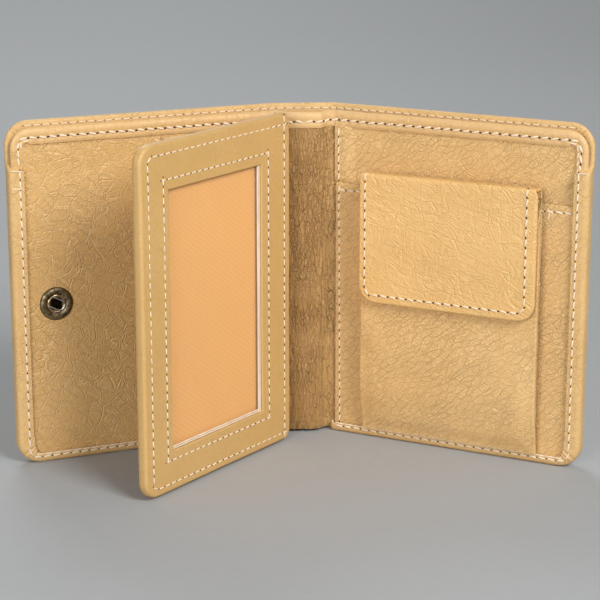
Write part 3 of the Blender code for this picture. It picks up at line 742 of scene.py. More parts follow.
def rounded_line(corners):
    """Points of a line through (x, z, radius) corners in mm, with its corners rounded."""
    points = []
    for index, (x, z, radius) in enumerate(corners):
        here = Vector((x, 0, z))
        if radius <= 0:
            points.append(here * MM)
            continue
        before = Vector((corners[index - 1][0], 0, corners[index - 1][1]))
        after = Vector((corners[index + 1][0], 0, corners[index + 1][1]))
        start = here + (before - here).normalized() * radius
        end = here + (after - here).normalized() * radius
        for step in range(ARC_STEPS + 1):
            share = step / ARC_STEPS
            bend = (1 - share) ** 2 * start + 2 * share * (1 - share) * here + share ** 2 * end
            points.append(bend * MM)
    return points


def even_steps(points, pitch):
    """Places at an even pitch along a line of points, with the direction at each."""
    length = sum((after - before).length for before, after in zip(points, points[1:]))
    count = max(1, round(length / pitch))
    pitch = length / count
    found, walked, due = [], 0.0, pitch / 2
    for before, after in zip(points, points[1:]):
        step = (after - before).length
        while step > 0 and due <= walked + step:
            found.append((before.lerp(after, (due - walked) / step), (after - before).normalized()))
            due += pitch
        walked += step
    return found


trial_line = [Vector((0, 0, 0)), Vector((10 * MM, 0, 0))]
print("stitches in 10 mm", len(even_steps(trial_line, 3.1 * MM)))

# %% [markdown]
# ### Beads of thread
#
# One stitch is a stretched sphere with blunt ends, and a needle hole is a small dark one, painted shade in
# place of a real hole. Both are made once, and copied into the seam's mesh for each stitch. As objects they
# would be a thousand pieces, and a curve for the thread would have to be bent at every hole.

# %% Beads of thread and sewing


def bead_shape(segments, rings, finish):
    """A unit sphere with blunter ends, to be stretched and put in place many times."""
    bm = bmesh.new()
    bmesh.ops.create_uvsphere(bm, u_segments=segments, v_segments=rings, radius=1)
    for vertex in bm.verts:
        fuller = 1 + 0.6 * vertex.co.z ** 2
        vertex.co = (vertex.co.x * fuller, vertex.co.y * fuller, vertex.co.z)
    for face in bm.faces:
        face.material_index = finish
    mesh = bpy.data.meshes.new("bead")
    bm.to_mesh(mesh)
    bm.free()
    return mesh


BEADS = [bead_shape(8, 5, 0), bead_shape(6, 4, 1)]


def add_bead(bm, centre, along, facing, size, finish):
    """Adds a stretched bead: size is its half length, half width and half height."""
    side = facing.cross(along).normalized()
    columns = (side * size[1], facing * size[2], along * size[0])
    matrix = Matrix(columns).transposed().to_4x4()
    matrix.translation = centre
    bead = BEADS[finish].copy()
    bead.transform(matrix)
    bm.from_mesh(bead)
    bpy.data.meshes.remove(bead)


# Pitch, share of the pitch that the thread covers, width, rise, lean and needle hole, a dark bead of
# painted shade. Lengths are in mm.
STITCHES = {
    "plain": (3.1, 0.8, 0.56, 0.2, 0.14, 0.3),
    "close": (2.9, 0.8, 0.56, 0.2, 0.14, 0.3),
    "hem": (2.9, 0.75, 0.36, 0.16, 0.05, 0.22),
    "inner": (3.1, 0.86, 0.44, 0.2, 0.1, 0),
    "binding": (3.2, 0.78, 0.66, 0.34, -0.3, 0.42),
    "gather": (2.2, 0.9, 0.5, 0.26, 0.35, 0),
    "flap": (3.15, 0.72, 0.56, 0.28, 0.18, 0.4),
    "page": (2.9, 0.7, 0.46, 0.2, 0.1, 0.3),
    "page back": (2.9, 0.7, 0.46, 0.07, 0.1, 0.3),
}
STITCH_COUNT = 0


def sew(bm, points, out, kind="plain"):
    """Sews a row along a line of points, where out is the direction away from the leather."""
    global STITCH_COUNT
    pitch, share, width, rise, lean, hole = STITCHES[kind]
    for place, along in even_steps(points, pitch * MM):
        side = out.cross(along).normalized()
        jitter = noise.noise(place * 900) * 0.12
        direction = (along + side * (lean + jitter)).normalized()
        half = pitch * MM * share / 2 * (1 + 0.5 * jitter)
        add_bead(bm, place + out * 0.02 * MM, direction, out, (half, width * MM / 2, rise * MM), 0)
        # The needle hole is a flat dark bead on the surface: painted shade.
        if hole > 0:
            mouth = place + along * (pitch * MM) / 2
            add_bead(bm, mouth, along, out, (hole * MM, hole * MM * 0.75, 0.09 * MM), 1)
        STITCH_COUNT += 1


def on_leaf(points, depth):
    """The same line at a depth below the skin."""
    return [Vector((point.x, depth, point.z)) for point in points]


INWARDS = Vector((0, 1, 0))
OUTWARDS = Vector((0, -1, 0))
print("stitches so far", STITCH_COUNT)

# %% [markdown]
# ## Outer leather
#
# One piece of leather makes the whole outside. It is turned over the boards along the sides and bottom,
# hemmed along the top, and it bends at two creases where the spine begins. It is made in two halves that
# meet in the middle of the spine, because a piece can bend over one joint only. Each half is laid out
# flat, as the cutter sees it, and then wrapped over the crease by a small round bend.

# %% Bend over the crease
HEIGHT = SHELL_HIGH.z
COVER_END = SHELL_HIGH.x
LIP_FACE = SHELL_HIGH.y
BEND_RADIUS = 6 * MM


def wrap_over_crease(side):
    """Gives the function that takes unrolled (along, depth, height) to the room. Along is 0 at the crease
    and negative on the spine."""
    hand, turn, cover = HANDS[side], TURNS[side], COVERS[side]
    shift = FOLD_DEPTH * math.tan(turn / 2)
    reach = BEND_RADIUS * math.tan(turn / 2)

    def place(co):
        if co.x >= reach - shift:
            return cover @ co
        if co.x <= shift - reach:
            return Vector((hand * (CREASE + co.x), FOLD_DEPTH - co.y, co.z))
        angle = turn * (co.x + reach - shift) / (2 * (reach - shift))
        middle = CREASE + shift - reach
        radius = BEND_RADIUS - co.y
        out = middle + radius * math.sin(angle)
        return Vector((hand * out, FOLD_DEPTH - BEND_RADIUS + radius * math.cos(angle), co.z))

    return place


def bend_with(piece, side):
    """Bakes the piece's placement into its mesh."""
    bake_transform(piece)


print("cover of leather in mm", round(COVER_END / MM, 1), "by", round(HEIGHT / MM, 1))

# %% [markdown]
# ### The two outer halves
#
# The leather is turned over the boards as a thick border, and pared into a thin hem along the top and
# over the spine. Round a corner the turned strip is too long for its place, so it gathers in pleats. The
# extruded edge follows both paths and a small wave makes the pleats, which sculpting would make by hand.

# %% Outer leather halves
SIDE_BORDER = 4.8 * MM
BOTTOM_BORDER = 2.8 * MM
TOP_HEM = 5.2 * MM
CORNER_HEM = 2.2 * MM
SPINE_HEM = 3.5 * MM
HEM_THICK = 1.8 * MM
SHELL_THICK = 0.8 * MM
OUTER_INSET = 2.0 * MM
CORNER_RADIUS = 7.5 * MM
SEAM_TOP = 96 * MM


def shell_section(base):
    """The turned edge at a place on the outline: a border round the boards, or a thin hem over the
    spine and along the top."""
    width = blend_between(BOTTOM_BORDER, SIDE_BORDER, smooth(COVER_END - CORNER_RADIUS, COVER_END, base.x))
    hem = blend_between(CORNER_HEM, TOP_HEM, smooth(HEIGHT - CORNER_RADIUS, HEIGHT, base.z))
    if base.z < HEIGHT / 2:
        hem = SPINE_HEM
    thin = max(smooth(SEAM_TOP - 1 * MM, SEAM_TOP + 1.5 * MM, base.z), smooth(2.0 * MM, -1.5 * MM, base.x))
    return between_paths(folded(width, LIP_FACE, 1.7 * MM), folded(hem, HEM_THICK, HEM_THICK / 2), thin)


def corner_pleats(base, outward, share):
    """Gathers in the turned leather where it goes round a corner."""
    angle = math.atan2(abs(outward.z), abs(outward.x))
    envelope = math.sin(2 * angle) * smooth(0.4, 1.0, share)
    lift = 0.22 * MM * envelope * math.sin(angle * 19 + 1.3 * math.sin(angle * 7))
    return Vector((0, lift, 0)) - outward * 0.25 * MM * envelope * math.cos(angle * 19)


def outer_half(side):
    columns = lines(-CREASE / MM, 1.2, 78, 0.5, (COVER_END - OUTER_INSET) / MM)
    rows = lines(OUTER_INSET / MM, 0.5, 8, 1.2, 102, 0.5, (HEIGHT - OUTER_INSET) / MM)
    inner_radius = CORNER_RADIUS - OUTER_INSET
    bm = field(columns, rows, 0, (0, inner_radius, inner_radius, 0))
    over_spine = [vertex for vertex in bm.verts if vertex.co.x < 2 * MM]
    point_outward(bm, over_spine, lambda place: (0, 0, 1 if place.z > HEIGHT / 2 else -1))
    calm = held_inside((-1, 0), (COVER_END, HEIGHT), 3 * MM, 9 * MM)
    crumple(bm, calm, "outside", 3.0 if side == "left" else 11.0, -1)
    edges = border(bm, lambda middle: middle.x > -CREASE + 0.01 * MM)
    turn_edges(bm, edges, OUTER_INSET, shell_section, 1, corner_pleats)
    bmesh.ops.reverse_faces(bm, faces=bm.faces)
    piece = make_piece(bm, side + "_outer_leather", COVERS[side], [OUTSIDE_TAN, RAW_EDGE], SHELL_THICK,
                       wrap_over_crease(side))
    bend_with(piece, side)
    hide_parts(side + "_outer_shell", "spine_outer_strip")
    return piece


outer_leather = {side: outer_half(side) for side in COVERS}
for side, piece in outer_leather.items():
    print(side, "outer leather:", len(piece.data.polygons), "faces")

# %% [markdown]
# ## Linings and inner panels
#
# A cloth lining is glued to the back wall of the bill compartment. In front of it stands the inner
# panel, a thin crumpled leather. Both go under the turned border, which is sewn through them. The cloth is
# one sheet round the spine on the real wallet, and is made in two halves here for the same reason as the
# outer leather.

# %% Bill compartment lining
CLOTH_THICK = 0.25 * MM
BOARD_HIGH = extent(LEFT, "left_bill_lining")[1]
for side in COVERS:
    columns = lines(-CREASE / MM, 1.5, 4.5, 4, BOARD_HIGH.x / MM)
    bm = field(columns, lines(1.2, 5, 104.5), BOARD_HIGH.y, (0, 6 * MM, 3 * MM, 0))
    cloth = make_piece(bm, side + "_lining_cloth", COVERS[side], [BILL_CLOTH], CLOTH_THICK,
                       wrap_over_crease(side))
    bend_with(cloth, side)
    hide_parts(side + "_bill_lining", "spine_bill_lining")
print("lining depth in mm", round(BOARD_HIGH.y / MM, 2))

# %% [markdown]
# ### Inner panels
#
# The inner panel is the front wall of the bill compartment, and the slip pocket is sewn on it. Its edge
# at the spine is turned to the back and lies a little higher there, over the spine's lining. A displace
# modifier could crease it, but the creases have to stop at the seams, so each point is moved by a
# function that knows where the seams are.

# %% Inner panels
PANEL_FACE = PANEL_LOW.y + 0.7 * MM
RAISED_FACE = PANEL_FACE + 0.95 * MM
PANEL_TOP = 104
PANEL_CORNER = 6.4 * MM
PANEL_PLY = 0.3 * MM
EDGE_BAND = 0.6 * MM


def inner_panel(side):
    columns = lines((PANEL_LOW.x + THIN_INSET) / MM, 0.8, PANEL_HIGH.x / MM)
    bm = field(columns, lines(1.2, 0.8, PANEL_TOP), PANEL_FACE, (0, PANEL_CORNER, 2 * MM, 0))
    calm = held_inside((PANEL_LOW.x, 0), (PANEL_HIGH.x, PANEL_TOP * MM), 4 * MM, 10 * MM)
    crumple(bm, calm, side + " panel", 5.0 if side == "left" else 21.0)
    for vertex in bm.verts:
        above_pocket = smooth(83.5 * MM, 86.5 * MM, vertex.co.z) if side == "right" else 1
        vertex.co.y += (RAISED_FACE - PANEL_FACE) * above_pocket * smooth(9 * MM, 5 * MM, vertex.co.x)
    turn_thin_edge(bm, lambda middle: middle.x < PANEL_LOW.x + EDGE_BAND, (-1, 0, 0))
    piece = make_piece(bm, side + "_panel_leather", COVERS[side], [TAN, RAW_EDGE], PANEL_PLY)
    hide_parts(side + "_inner_panel")
    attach(piece, side + "_cover")


for side in COVERS:
    inner_panel(side)
print("panel face at depth", round(PANEL_FACE / MM, 2))

# %% [markdown]
# ## Spine lining
#
# A strip of darker, much handled leather closes the bill compartment across the spine. It is a soft
# channel: it comes off one cover, swells forward, and goes under the edge of the other one's pocket. Its
# wrinkles run up and down, because that is how it is squeezed when the wallet closes.

# %% Path of the channel in plan
CHANNEL_FACE = 3.75 * MM
EDGE_START = 1.6 * MM


def channel_points(side):
    """Plan points of the channel's front, from the middle of the spine to the cover."""
    hand = HANDS[side]
    leaf_point = COVERS[side] @ Vector((EDGE_START, CHANNEL_FACE, 0))
    bends = [(0, -6.55), (2.6, -6.55), (4.7, -6.5), (5.85, -5.85), (6.7, -4.8), (8.0, -3.85), (9.2, -3.5)]
    points = [Vector((hand * x * MM, y * MM, 0)) for x, y in bends]
    return points + [Vector((leaf_point.x, leaf_point.y, 0))]


def curve_through(points, steps=8):
    """A smooth curve through points, as many short steps of a cubic spline."""
    padded = [points[0] * 2 - points[1], *points, points[-1] * 2 - points[-2]]
    made = []
    for a, b, c, d in zip(padded, padded[1:], padded[2:], padded[3:]):
        for step in range(steps):
            t = step / steps
            made.append(0.5 * ((b * 2) + (c - a) * t + (a * 2 - b * 5 + c * 4 - d) * t * t
                               + (b * 3 - a - c * 3 + d) * t ** 3))
    return made + [points[-1]]


def walk(path):
    """Gives the path's length, and a function from a distance along it to the place and direction there."""
    ahead = [0.0]
    for before, after in zip(path, path[1:]):
        ahead.append(ahead[-1] + (after - before).length)

    def at(due):
        due = min(max(due, 0.0), ahead[-1])
        index = max(i for i, reached in enumerate(ahead[:-1]) if reached <= due)
        share = (due - ahead[index]) / (ahead[index + 1] - ahead[index])
        first = (path[index + 1] - path[max(0, index - 1)]).normalized()
        last = (path[min(index + 2, len(path) - 1)] - path[index]).normalized()
        return path[index].lerp(path[index + 1], share), first.lerp(last, share).normalized()

    return ahead[-1], at


def wrap_over_channel(side):
    """Gives the function that takes unrolled (along, depth, height) to the room, and the unrolled place of
    the spine's middle. Beyond the pocket's edge it is the cover itself."""
    hand, cover = HANDS[side], COVERS[side]
    total, at = walk(curve_through(channel_points(side)))

    def place(co):
        if co.x >= EDGE_START:
            return cover @ co
        spot, along = at(total + co.x - EDGE_START)
        front = Vector((along.y * hand, -along.x * hand, 0))
        return spot + front * (co.y - CHANNEL_FACE) + Vector((0, 0, co.z))

    return place, EDGE_START - total


def bend_channel(piece, side):
    """Bakes the piece's placement into its mesh."""
    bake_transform(piece)


print("channel from the middle in mm", round((EDGE_START - wrap_over_channel("left")[1]) / MM, 2))

# %% [markdown]
# ### Wrinkles of the spine lining
#
# The leather is laid out flat, wrinkled, and led along the channel's path, so that the wrinkles follow
# the bend. Stretched noise gives upright folds of uneven width. A wave texture would make them too even.

# %% Spine lining halves
SPINE_TOP = 107.3


def wrinkles(x, z, hand):
    """Depth of the upright wrinkles, in metres."""
    sway = 1.6 * MM * noise.noise(Vector((3.3, hand, z / (17 * MM))))
    across = (x * hand + sway) / (2.6 * MM)
    fold = noise.noise(Vector((across, hand * 5, z / (17 * MM))))
    fine = noise.noise(Vector((across * 2.6, hand * 9, z / (5 * MM))))
    cross = noise.noise(Vector((across * 0.9, 4.4, z / (2.6 * MM))))
    return (0.42 * fold - 0.26 * math.exp(-(fold / 0.13) ** 2) + 0.22 * fine + 0.1 * cross) * MM


def spine_half(side):
    place, middle = wrap_over_channel(side)
    columns = lines(middle / MM, 0.3, 3.6)
    rows = lines(1.0, 0.8, SPINE_TOP)

    def spot(column, row):
        x, z = columns[column], rows[row]
        held = smooth(3.4 * MM, 0.6 * MM, x) * smooth(0, 5 * MM, SPINE_TOP * MM - z)
        rolled = 0.3 * MM * smooth(1.0 * MM, 0, z - rows[0])
        under_panel = 0.2 * MM * smooth(0.5 * MM, 1.6 * MM, x)
        flat = CHANNEL_FACE - 0.12 * MM - under_panel
        return Vector((x, flat + held * wrinkles(x - middle, z, HANDS[side]) - rolled, z))

    bm = shaped(len(columns) - 1, len(rows) - 1, spot)
    bmesh.ops.reverse_faces(bm, faces=bm.faces)
    piece = make_piece(bm, side + "_spine_leather", COVERS[side], [SPINE_BROWN, RAW_EDGE], 0.45 * MM,
                       place)
    bend_channel(piece, side)
    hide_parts("spine_lining")


for side in COVERS:
    spine_half(side)
print("spine lining made in two halves")

# %% [markdown]
# ## Top binding of the inner panels
#
# The panel's top edge is turned over into a soft roll and sewn down with large slanted stitches. The roll
# runs on across the spine lining and round the cover's outer corner, where it is gathered. It is a strip
# carried along the edge: a ring of section points at each place, further in where the thread pulls.

# %% Rolled binding
BINDING_TOP = PANEL_HIGH.z
BINDING_RADIUS = 6.3
BINDING_END = 94.5
BINDING_MIDDLE = 3.4
CORNER_STEPS = 18
BINDING_SECTION = [(-5.2, 2.62), (-3.2, 2.6), (-1.9, 2.42), (-0.9, 2.45), (-0.25, 2.75), (0.0, 3.3),
                   (-0.15, 3.8), (-0.65, 4.26), (-1.4, 4.46), (-2.2, 4.38), (-2.8, 4.14), (-3.1, 4.0),
                   (-3.4, 4.03), (-4.0, 4.14), (-4.7, 4.0), (-5.2, 3.74)]


def binding_line(side):
    """Pairs in flat coordinates: a place along the top edge, and the way out of the leather there."""
    middle = wrap_over_channel(side)[1]
    radius = BINDING_RADIUS * MM
    centre = Vector((PANEL_HIGH.x - radius, 0, BINDING_TOP - radius))
    stops = [(Vector((x, 0, BINDING_TOP)), Vector((0, 0, 1)))
             for x in lines(middle / MM, 0.5, 4, 0.8, (PANEL_HIGH.x - radius) / MM)]
    for step in range(1, CORNER_STEPS + 1):
        angle = step / CORNER_STEPS * math.pi / 2
        outward = Vector((math.sin(angle), 0, math.cos(angle)))
        stops.append((centre + outward * radius, outward))
    for z in lines(BINDING_TOP / MM - BINDING_RADIUS, 0.6, BINDING_END)[1:]:
        stops.append((Vector((PANEL_HIGH.x, 0, z)), Vector((1, 0, 0))))
    return stops


def binding_spot(base, outward, back, depth):
    """A section point carried to a place on the edge. The binding narrows round the corner."""
    narrow = smooth(0.0, 0.9, abs(outward.x))
    slow = noise.noise(Vector((base.x / (9 * MM), 8.0, base.z / (9 * MM))))
    lift = (depth - BINDING_MIDDLE) * (1 + 0.1 * slow) * blend_between(1.0, 0.8, narrow)
    off = (back * blend_between(1.0, 0.76, narrow) + 0.16 * slow) * MM
    return base + outward * off + Vector((0, (BINDING_MIDDLE + lift) * MM, 0))


def binding(side):
    place, middle = wrap_over_channel(side)
    stops = binding_line(side)

    def spot(column, row):
        base, outward = stops[column]
        gather = noise.noise(Vector((base.x / (1.5 * MM), row * 0.35, base.z / (1.5 * MM))))
        strength = 0.1 + 0.32 * smooth(8 * MM, 0, base.x - middle) + 0.4 * (outward.x * outward.z * 2) ** 2
        swell = gather * strength * MM * (0.4 if 3 < row < 14 else 0.15)
        return binding_spot(base, outward, *BINDING_SECTION[row]) + Vector((0, swell, 0))

    bm = shaped(len(stops) - 1, len(BINDING_SECTION) - 1, spot)
    piece = make_piece(bm, side + "_binding", COVERS[side], [BORDER_TAN, RAW_EDGE], 0.5 * MM,
                       place)
    bend_channel(piece, side)
    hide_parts(side + "_inner_panel")


for side in COVERS:
    binding(side)
print("binding top at", round(BINDING_TOP / MM, 2))

# %% [markdown]
# ## Slip pockets
#
# A second leather lies over each inner panel. The left one opens towards the spine and shows a folded
# upright edge. The right one opens upwards and has its top edge turned and sewn. The coin pocket and
# the press stud's socket are fixed to these plies. Each is a creased grid like the panel below it, and the
# socket's hole is cut out of the left one before its edge is turned.

# %% Slip pocket leathers
POCKET_FACE = extent(LEFT, "left_slip_pocket")[1].y
SNAP_PLACE = sum(extent(LEFT, "snap_socket_ring"), Vector()) / 2
SNAP_MOUTH = 3.3 * MM


def slip_pocket(side, finish, seed):
    low, high = extent(COVERS[side], side + "_slip_pocket")
    if side == "right":
        low.x += 0.65 * MM
    columns = lines((low.x + THIN_INSET) / MM, 0.8, high.x / MM)
    rows = lines(low.z / MM, 0.8, (high.z - THIN_INSET) / MM)
    bm = field(columns, rows, POCKET_FACE, (0, PANEL_CORNER, 3 * MM if side == "left" else 0, 0))
    calm = held_inside((low.x, 0), (high.x, high.z), 3 * MM, 8 * MM)

    def calm_here(place):
        socket_gap = math.hypot(place.x - SNAP_PLACE.x, place.z - SNAP_PLACE.z) if side == "left" else 1
        return calm(place) * smooth(5.5 * MM, 10 * MM, socket_gap)

    crumple(bm, calm_here, side + " panel", seed)
    if side == "left":
        mouth = [face for face in bm.faces
                 if (face.calc_center_median() - SNAP_PLACE).xz.length < SNAP_MOUTH]
        bmesh.ops.delete(bm, geom=mouth, context="FACES")
    turn_thin_edge(bm, lambda middle: middle.x < low.x + EDGE_BAND, (-1, 0, 0))
    if side == "right":
        turn_thin_edge(bm, lambda middle: middle.z > high.z - EDGE_BAND, (0, 0, 1))
    piece = make_piece(bm, side + "_pocket_leather", COVERS[side], [finish, RAW_EDGE], PANEL_PLY)
    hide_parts(side + "_slip_pocket")
    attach(piece, side + "_cover")
    return piece


pockets = {"left": slip_pocket("left", CREASED_TAN, 5.0), "right": slip_pocket("right", TAN, 33.0)}
print("pocket face at depth", round(POCKET_FACE / MM, 2))
print("socket at", [round(v / MM, 1) for v in SNAP_PLACE])

# %% [markdown]
# ## Coin pocket
#
# The coin pocket is a flat box of leather on the right cover: a cloth back, a front that slopes in to the
# bottom seam, and a gusset folded inwards at each side. The front is one creased sheet with its edges
# turned. Its gussets are folded strips, and show in the dark gap beside it.

# %% Coin pocket front
COIN_LOW, COIN_HIGH = extent(RIGHT, "coin_pocket_front")
COIN_INSET = 0.8 * MM
SOFT_PLY = 0.35 * MM


def coin_depth(z):
    """Depth of the pocket front at a height: it slopes in to the seam at the bottom."""
    return blend_between(COIN_LOW.y + 1.1 * MM, COIN_HIGH.y, smooth(COIN_LOW.z - 4 * MM, 21 * MM, z))


bm = field(lines((COIN_LOW.x + COIN_INSET) / MM, 0.9, (COIN_HIGH.x - COIN_INSET) / MM),
           lines((COIN_LOW.z + 0.4 * MM) / MM, 0.9, COIN_HIGH.z / MM), 0)
point_outward(bm, bm.verts, to_nearer_side(COIN_LOW, COIN_HIGH))
coin_calm = held_inside((COIN_LOW.x, COIN_LOW.z), (COIN_HIGH.x, 140 * MM), 0.5 * MM, 6 * MM)
crumple(bm, coin_calm, "coin pocket", 41.0)
for vertex in bm.verts:
    swell = 0.9 * MM * smooth(46 * MM, 30 * MM, vertex.co.z) * coin_calm(vertex.co)
    streak = 0.05 * MM * noise.noise(Vector((vertex.co.x / (2.4 * MM), 6.0, vertex.co.z / (14 * MM))))
    vertex.co.y += coin_depth(vertex.co.z) + swell + streak * coin_calm(vertex.co)
edges = border(bm, lambda middle: COIN_LOW.z + 0.45 * MM < middle.z < COIN_HIGH.z - 0.05 * MM)
turn_edges(bm, edges, COIN_INSET, lambda base: folded(2.2 * MM, 1.2 * MM, 0.55 * MM, 4), -1)
coin_front = make_piece(bm, "coin_front_leather", RIGHT, [TAN, RAW_EDGE], SOFT_PLY)
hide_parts("coin_pocket_front")
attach(coin_front, "right_cover")
print("coin pocket in mm", [round(v / MM, 1) for v in COIN_HIGH - COIN_LOW])

# %% [markdown]
# ### Gussets and back of the coin pocket
#
# A gusset is a narrow strip sewn to the back and to the front, with its middle folded inwards, so that the
# pocket can open. It needs no turned edges, because only its fold shows. So a bent grid is enough for it,
# and the cloth back is a plain grid.

# %% Gussets and back
GUSSET_TOP = 86
GUSSET_COLUMNS = 10


def gusset(name, edge, inward):
    """A strip from back to front with its middle folded in."""
    full_height = extent(RIGHT, name)[1].z
    rows = lines(4.2, 1.1, full_height / MM, 0.8, GUSSET_TOP)

    def spot(column, row):
        z = rows[row]
        front = coin_depth(z) - 0.5 * MM - 3.2 * MM * smooth(full_height, GUSSET_TOP * MM, z)
        share = column / GUSSET_COLUMNS
        fold = 1 - abs(2 * share - 1)
        wave = 0.35 * MM * noise.noise(Vector((z / (6 * MM), share * 2, edge * 100)))
        depth = blend_between(COIN_LOW.y - 0.1 * MM, front, share)
        return Vector((edge + inward * (fold ** 0.8 * 2.0 * MM) + wave, depth, z))

    bm = shaped(GUSSET_COLUMNS, len(rows) - 1, spot)
    if inward < 0:
        bmesh.ops.reverse_faces(bm, faces=bm.faces)
    piece = make_piece(bm, name + "_leather", RIGHT, [TAN], SOFT_PLY)
    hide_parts(name)
    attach(piece, "right_cover")


gusset("coin_pocket_gusset_left", COIN_LOW.x + 0.9 * MM, 1)
gusset("coin_pocket_gusset_right", COIN_HIGH.x - 0.9 * MM, -1)
BACK_LOW, BACK_HIGH = extent(RIGHT, "coin_pocket_back")
bm = spread(BACK_LOW, BACK_HIGH, 3, BACK_HIGH.y, trim=1.2)
coin_back = make_piece(bm, "coin_back_cloth", RIGHT, [BILL_CLOTH], 0.4 * MM)
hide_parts("coin_pocket_back")
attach(coin_back, "right_cover")
print("coin pocket back in mm", [round(v / MM, 1) for v in BACK_HIGH - BACK_LOW])

# %% [markdown]
# ## Flap
#
# The flap is one leather that comes up from behind the coin pocket, goes forward over its mouth, rolls
# over, and hangs down in front. It is cut flat, creased, and its edges are turned, and then it is led along
# the side view of that path. Its own creases are long and slanting, because it is bent at every use.

# %% Path of the flap, seen from the side
FLAP_LOW, FLAP_HIGH = extent(RIGHT, "coin_flap_outer")
FLAP_FACE = FLAP_HIGH.y
FLAP_BEND = JOINTS["flap_lift"]["pos_m"][2]
side_view = [(11.7, 89.3), (11.42, 90.0), (10.75, 90.3), (10.05, 90.12), (9.3, 89.78), (8.0, 89.7),
             (6.4, 89.7), (5.2, 89.45), (4.75, 88.7), (4.7, 87.5), (4.7, 86.3)]
FLAP_REACH, flap_at = walk(curve_through([Vector((0, depth * MM, z * MM)) for depth, z in side_view]))


def over_the_top(co):
    """Takes flat flap coordinates to the room. Above the bend, a height is a distance along the path."""
    if co.z <= FLAP_BEND:
        return RIGHT @ co
    spot, along = flap_at(co.z - FLAP_BEND)
    outward = Vector((0, along.z, -along.y))
    return RIGHT @ (Vector((co.x, 0, 0)) + spot + outward * (co.y - FLAP_FACE))


def bend_flap(piece):
    """Bakes the piece's placement into its mesh."""
    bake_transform(piece)


print("path over the pocket in mm", round(FLAP_REACH / MM, 1))

# %% [markdown]
# ### Flap leather and lining
#
# The rim is turned thick and round in front, where it is seen and held, and thin above the bend. The
# leather narrows a little behind the pocket's mouth. The lining is a flat cloth in the flap's back. A
# single thick sheet would be simpler, but the rounded rim and the thin bend are what make it look sewn.

# %% Flap leather and lining
FLAP_INSET = 1.1 * MM
FLAP_TOP = FLAP_BEND + FLAP_REACH
FLAP_RADIUS = 6.0 * MM


def flap_section(base):
    """Rounded thick rim in front, thin turned edge above the bend."""
    thin = smooth(FLAP_BEND - 2 * MM, FLAP_BEND + 0.6 * MM, base.z)
    front = folded(3.2 * MM, 1.75 * MM, 0.85 * MM)
    above = folded(1.6 * MM, 0.8 * MM, 0.4 * MM)
    return between_paths(front, above, thin)


columns = lines((FLAP_LOW.x + FLAP_INSET) / MM, 0.8, (FLAP_HIGH.x - FLAP_INSET) / MM)
rows = lines((FLAP_LOW.z + FLAP_INSET) / MM, 0.8, 88, 0.35, FLAP_TOP / MM)
bm = field(columns, rows, FLAP_FACE, (FLAP_RADIUS - FLAP_INSET, FLAP_RADIUS - FLAP_INSET, 0, 0))
above_corners = [vertex for vertex in bm.verts if vertex.co.z > FLAP_LOW.z + FLAP_RADIUS + 1 * MM]
point_outward(bm, above_corners, to_nearer_side(FLAP_LOW, FLAP_HIGH))
flap_calm = held_inside((FLAP_LOW.x, FLAP_LOW.z), (FLAP_HIGH.x, 91.5 * MM), 2.6 * MM, 6 * MM)
crumple(bm, flap_calm, "flap", 57.0)
edges = border(bm, lambda middle: middle.z < FLAP_TOP - 0.05 * MM)
turn_edges(bm, edges, FLAP_INSET, flap_section, -1)
for vertex in bm.verts:
    side = -1 if vertex.co.x < (FLAP_LOW.x + FLAP_HIGH.x) / 2 else 1
    gap = vertex.co.x - FLAP_LOW.x if side < 0 else FLAP_HIGH.x - vertex.co.x
    vertex.co.x -= side * 0.8 * MM * smooth(87.6 * MM, 91.2 * MM, vertex.co.z) * smooth(7 * MM, 0, gap)
flap = make_piece(bm, "flap_leather", RIGHT, [FLAP_TAN, RAW_EDGE], 0.38 * MM, over_the_top)
bend_flap(flap)
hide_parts("coin_flap_outer", "coin_flap_hinge_roll")
LINING_LOW, LINING_HIGH = extent(RIGHT, "coin_flap_lining")
bm = spread(LINING_LOW, LINING_HIGH, 2, LINING_LOW.y, (4 * MM, 4 * MM, 0, 0))
bmesh.ops.reverse_faces(bm, faces=bm.faces)
flap_cloth = make_piece(bm, "flap_lining_cloth", RIGHT, [BILL_CLOTH], CLOTH_THICK)
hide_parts("coin_flap_lining")
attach(flap_cloth, "coin_flap")
print("flap leather over its path in mm", round((FLAP_TOP - FLAP_LOW.z) / MM, 1))

# %% [markdown]
# ## Card page
#
# A leather frame with a clear window hangs on a soft strip at the spine. Its edge is rolled to the back,
# where a second leather closes it, and peach twill shows through the window. The frame is a grid with
# lines drawn to the window's edges, so that the window can be cut out and its edges turned in.

# %% Front leather of the page
PAGE_LOW, PAGE_HIGH = extent(PAGE, "page_front_frame")
PAGE_INSET = 1.0 * MM
window_left, window_bottom, window_right, window_top = 14.9, 13.3, 61.4, 95.1


def page_wave(place):
    """Slight waviness of the soft page, with fine crinkles by the hinge."""
    slow = noise.noise(Vector((place.x / (24 * MM), 1.0, place.z / (30 * MM))))
    fine = noise.noise(Vector((place.x / (1.6 * MM), 2.0, place.z / (5 * MM))))
    return (0.14 * slow + 0.1 * fine * smooth(13 * MM, 4 * MM, place.x)) * MM


def by_window(place):
    return (window_left - 0.1 < place.x / MM < window_right + 0.1
            and window_bottom - 0.1 < place.z / MM < window_top + 0.1)


def into_window(place):
    """The way out of the leather at the window's edge, which is towards the window's middle."""
    x, z = place.x / MM, place.z / MM
    return ((abs(x - window_left) < 0.01) - (abs(x - window_right) < 0.01), 0,
            (abs(z - window_bottom) < 0.01) - (abs(z - window_top) < 0.01))


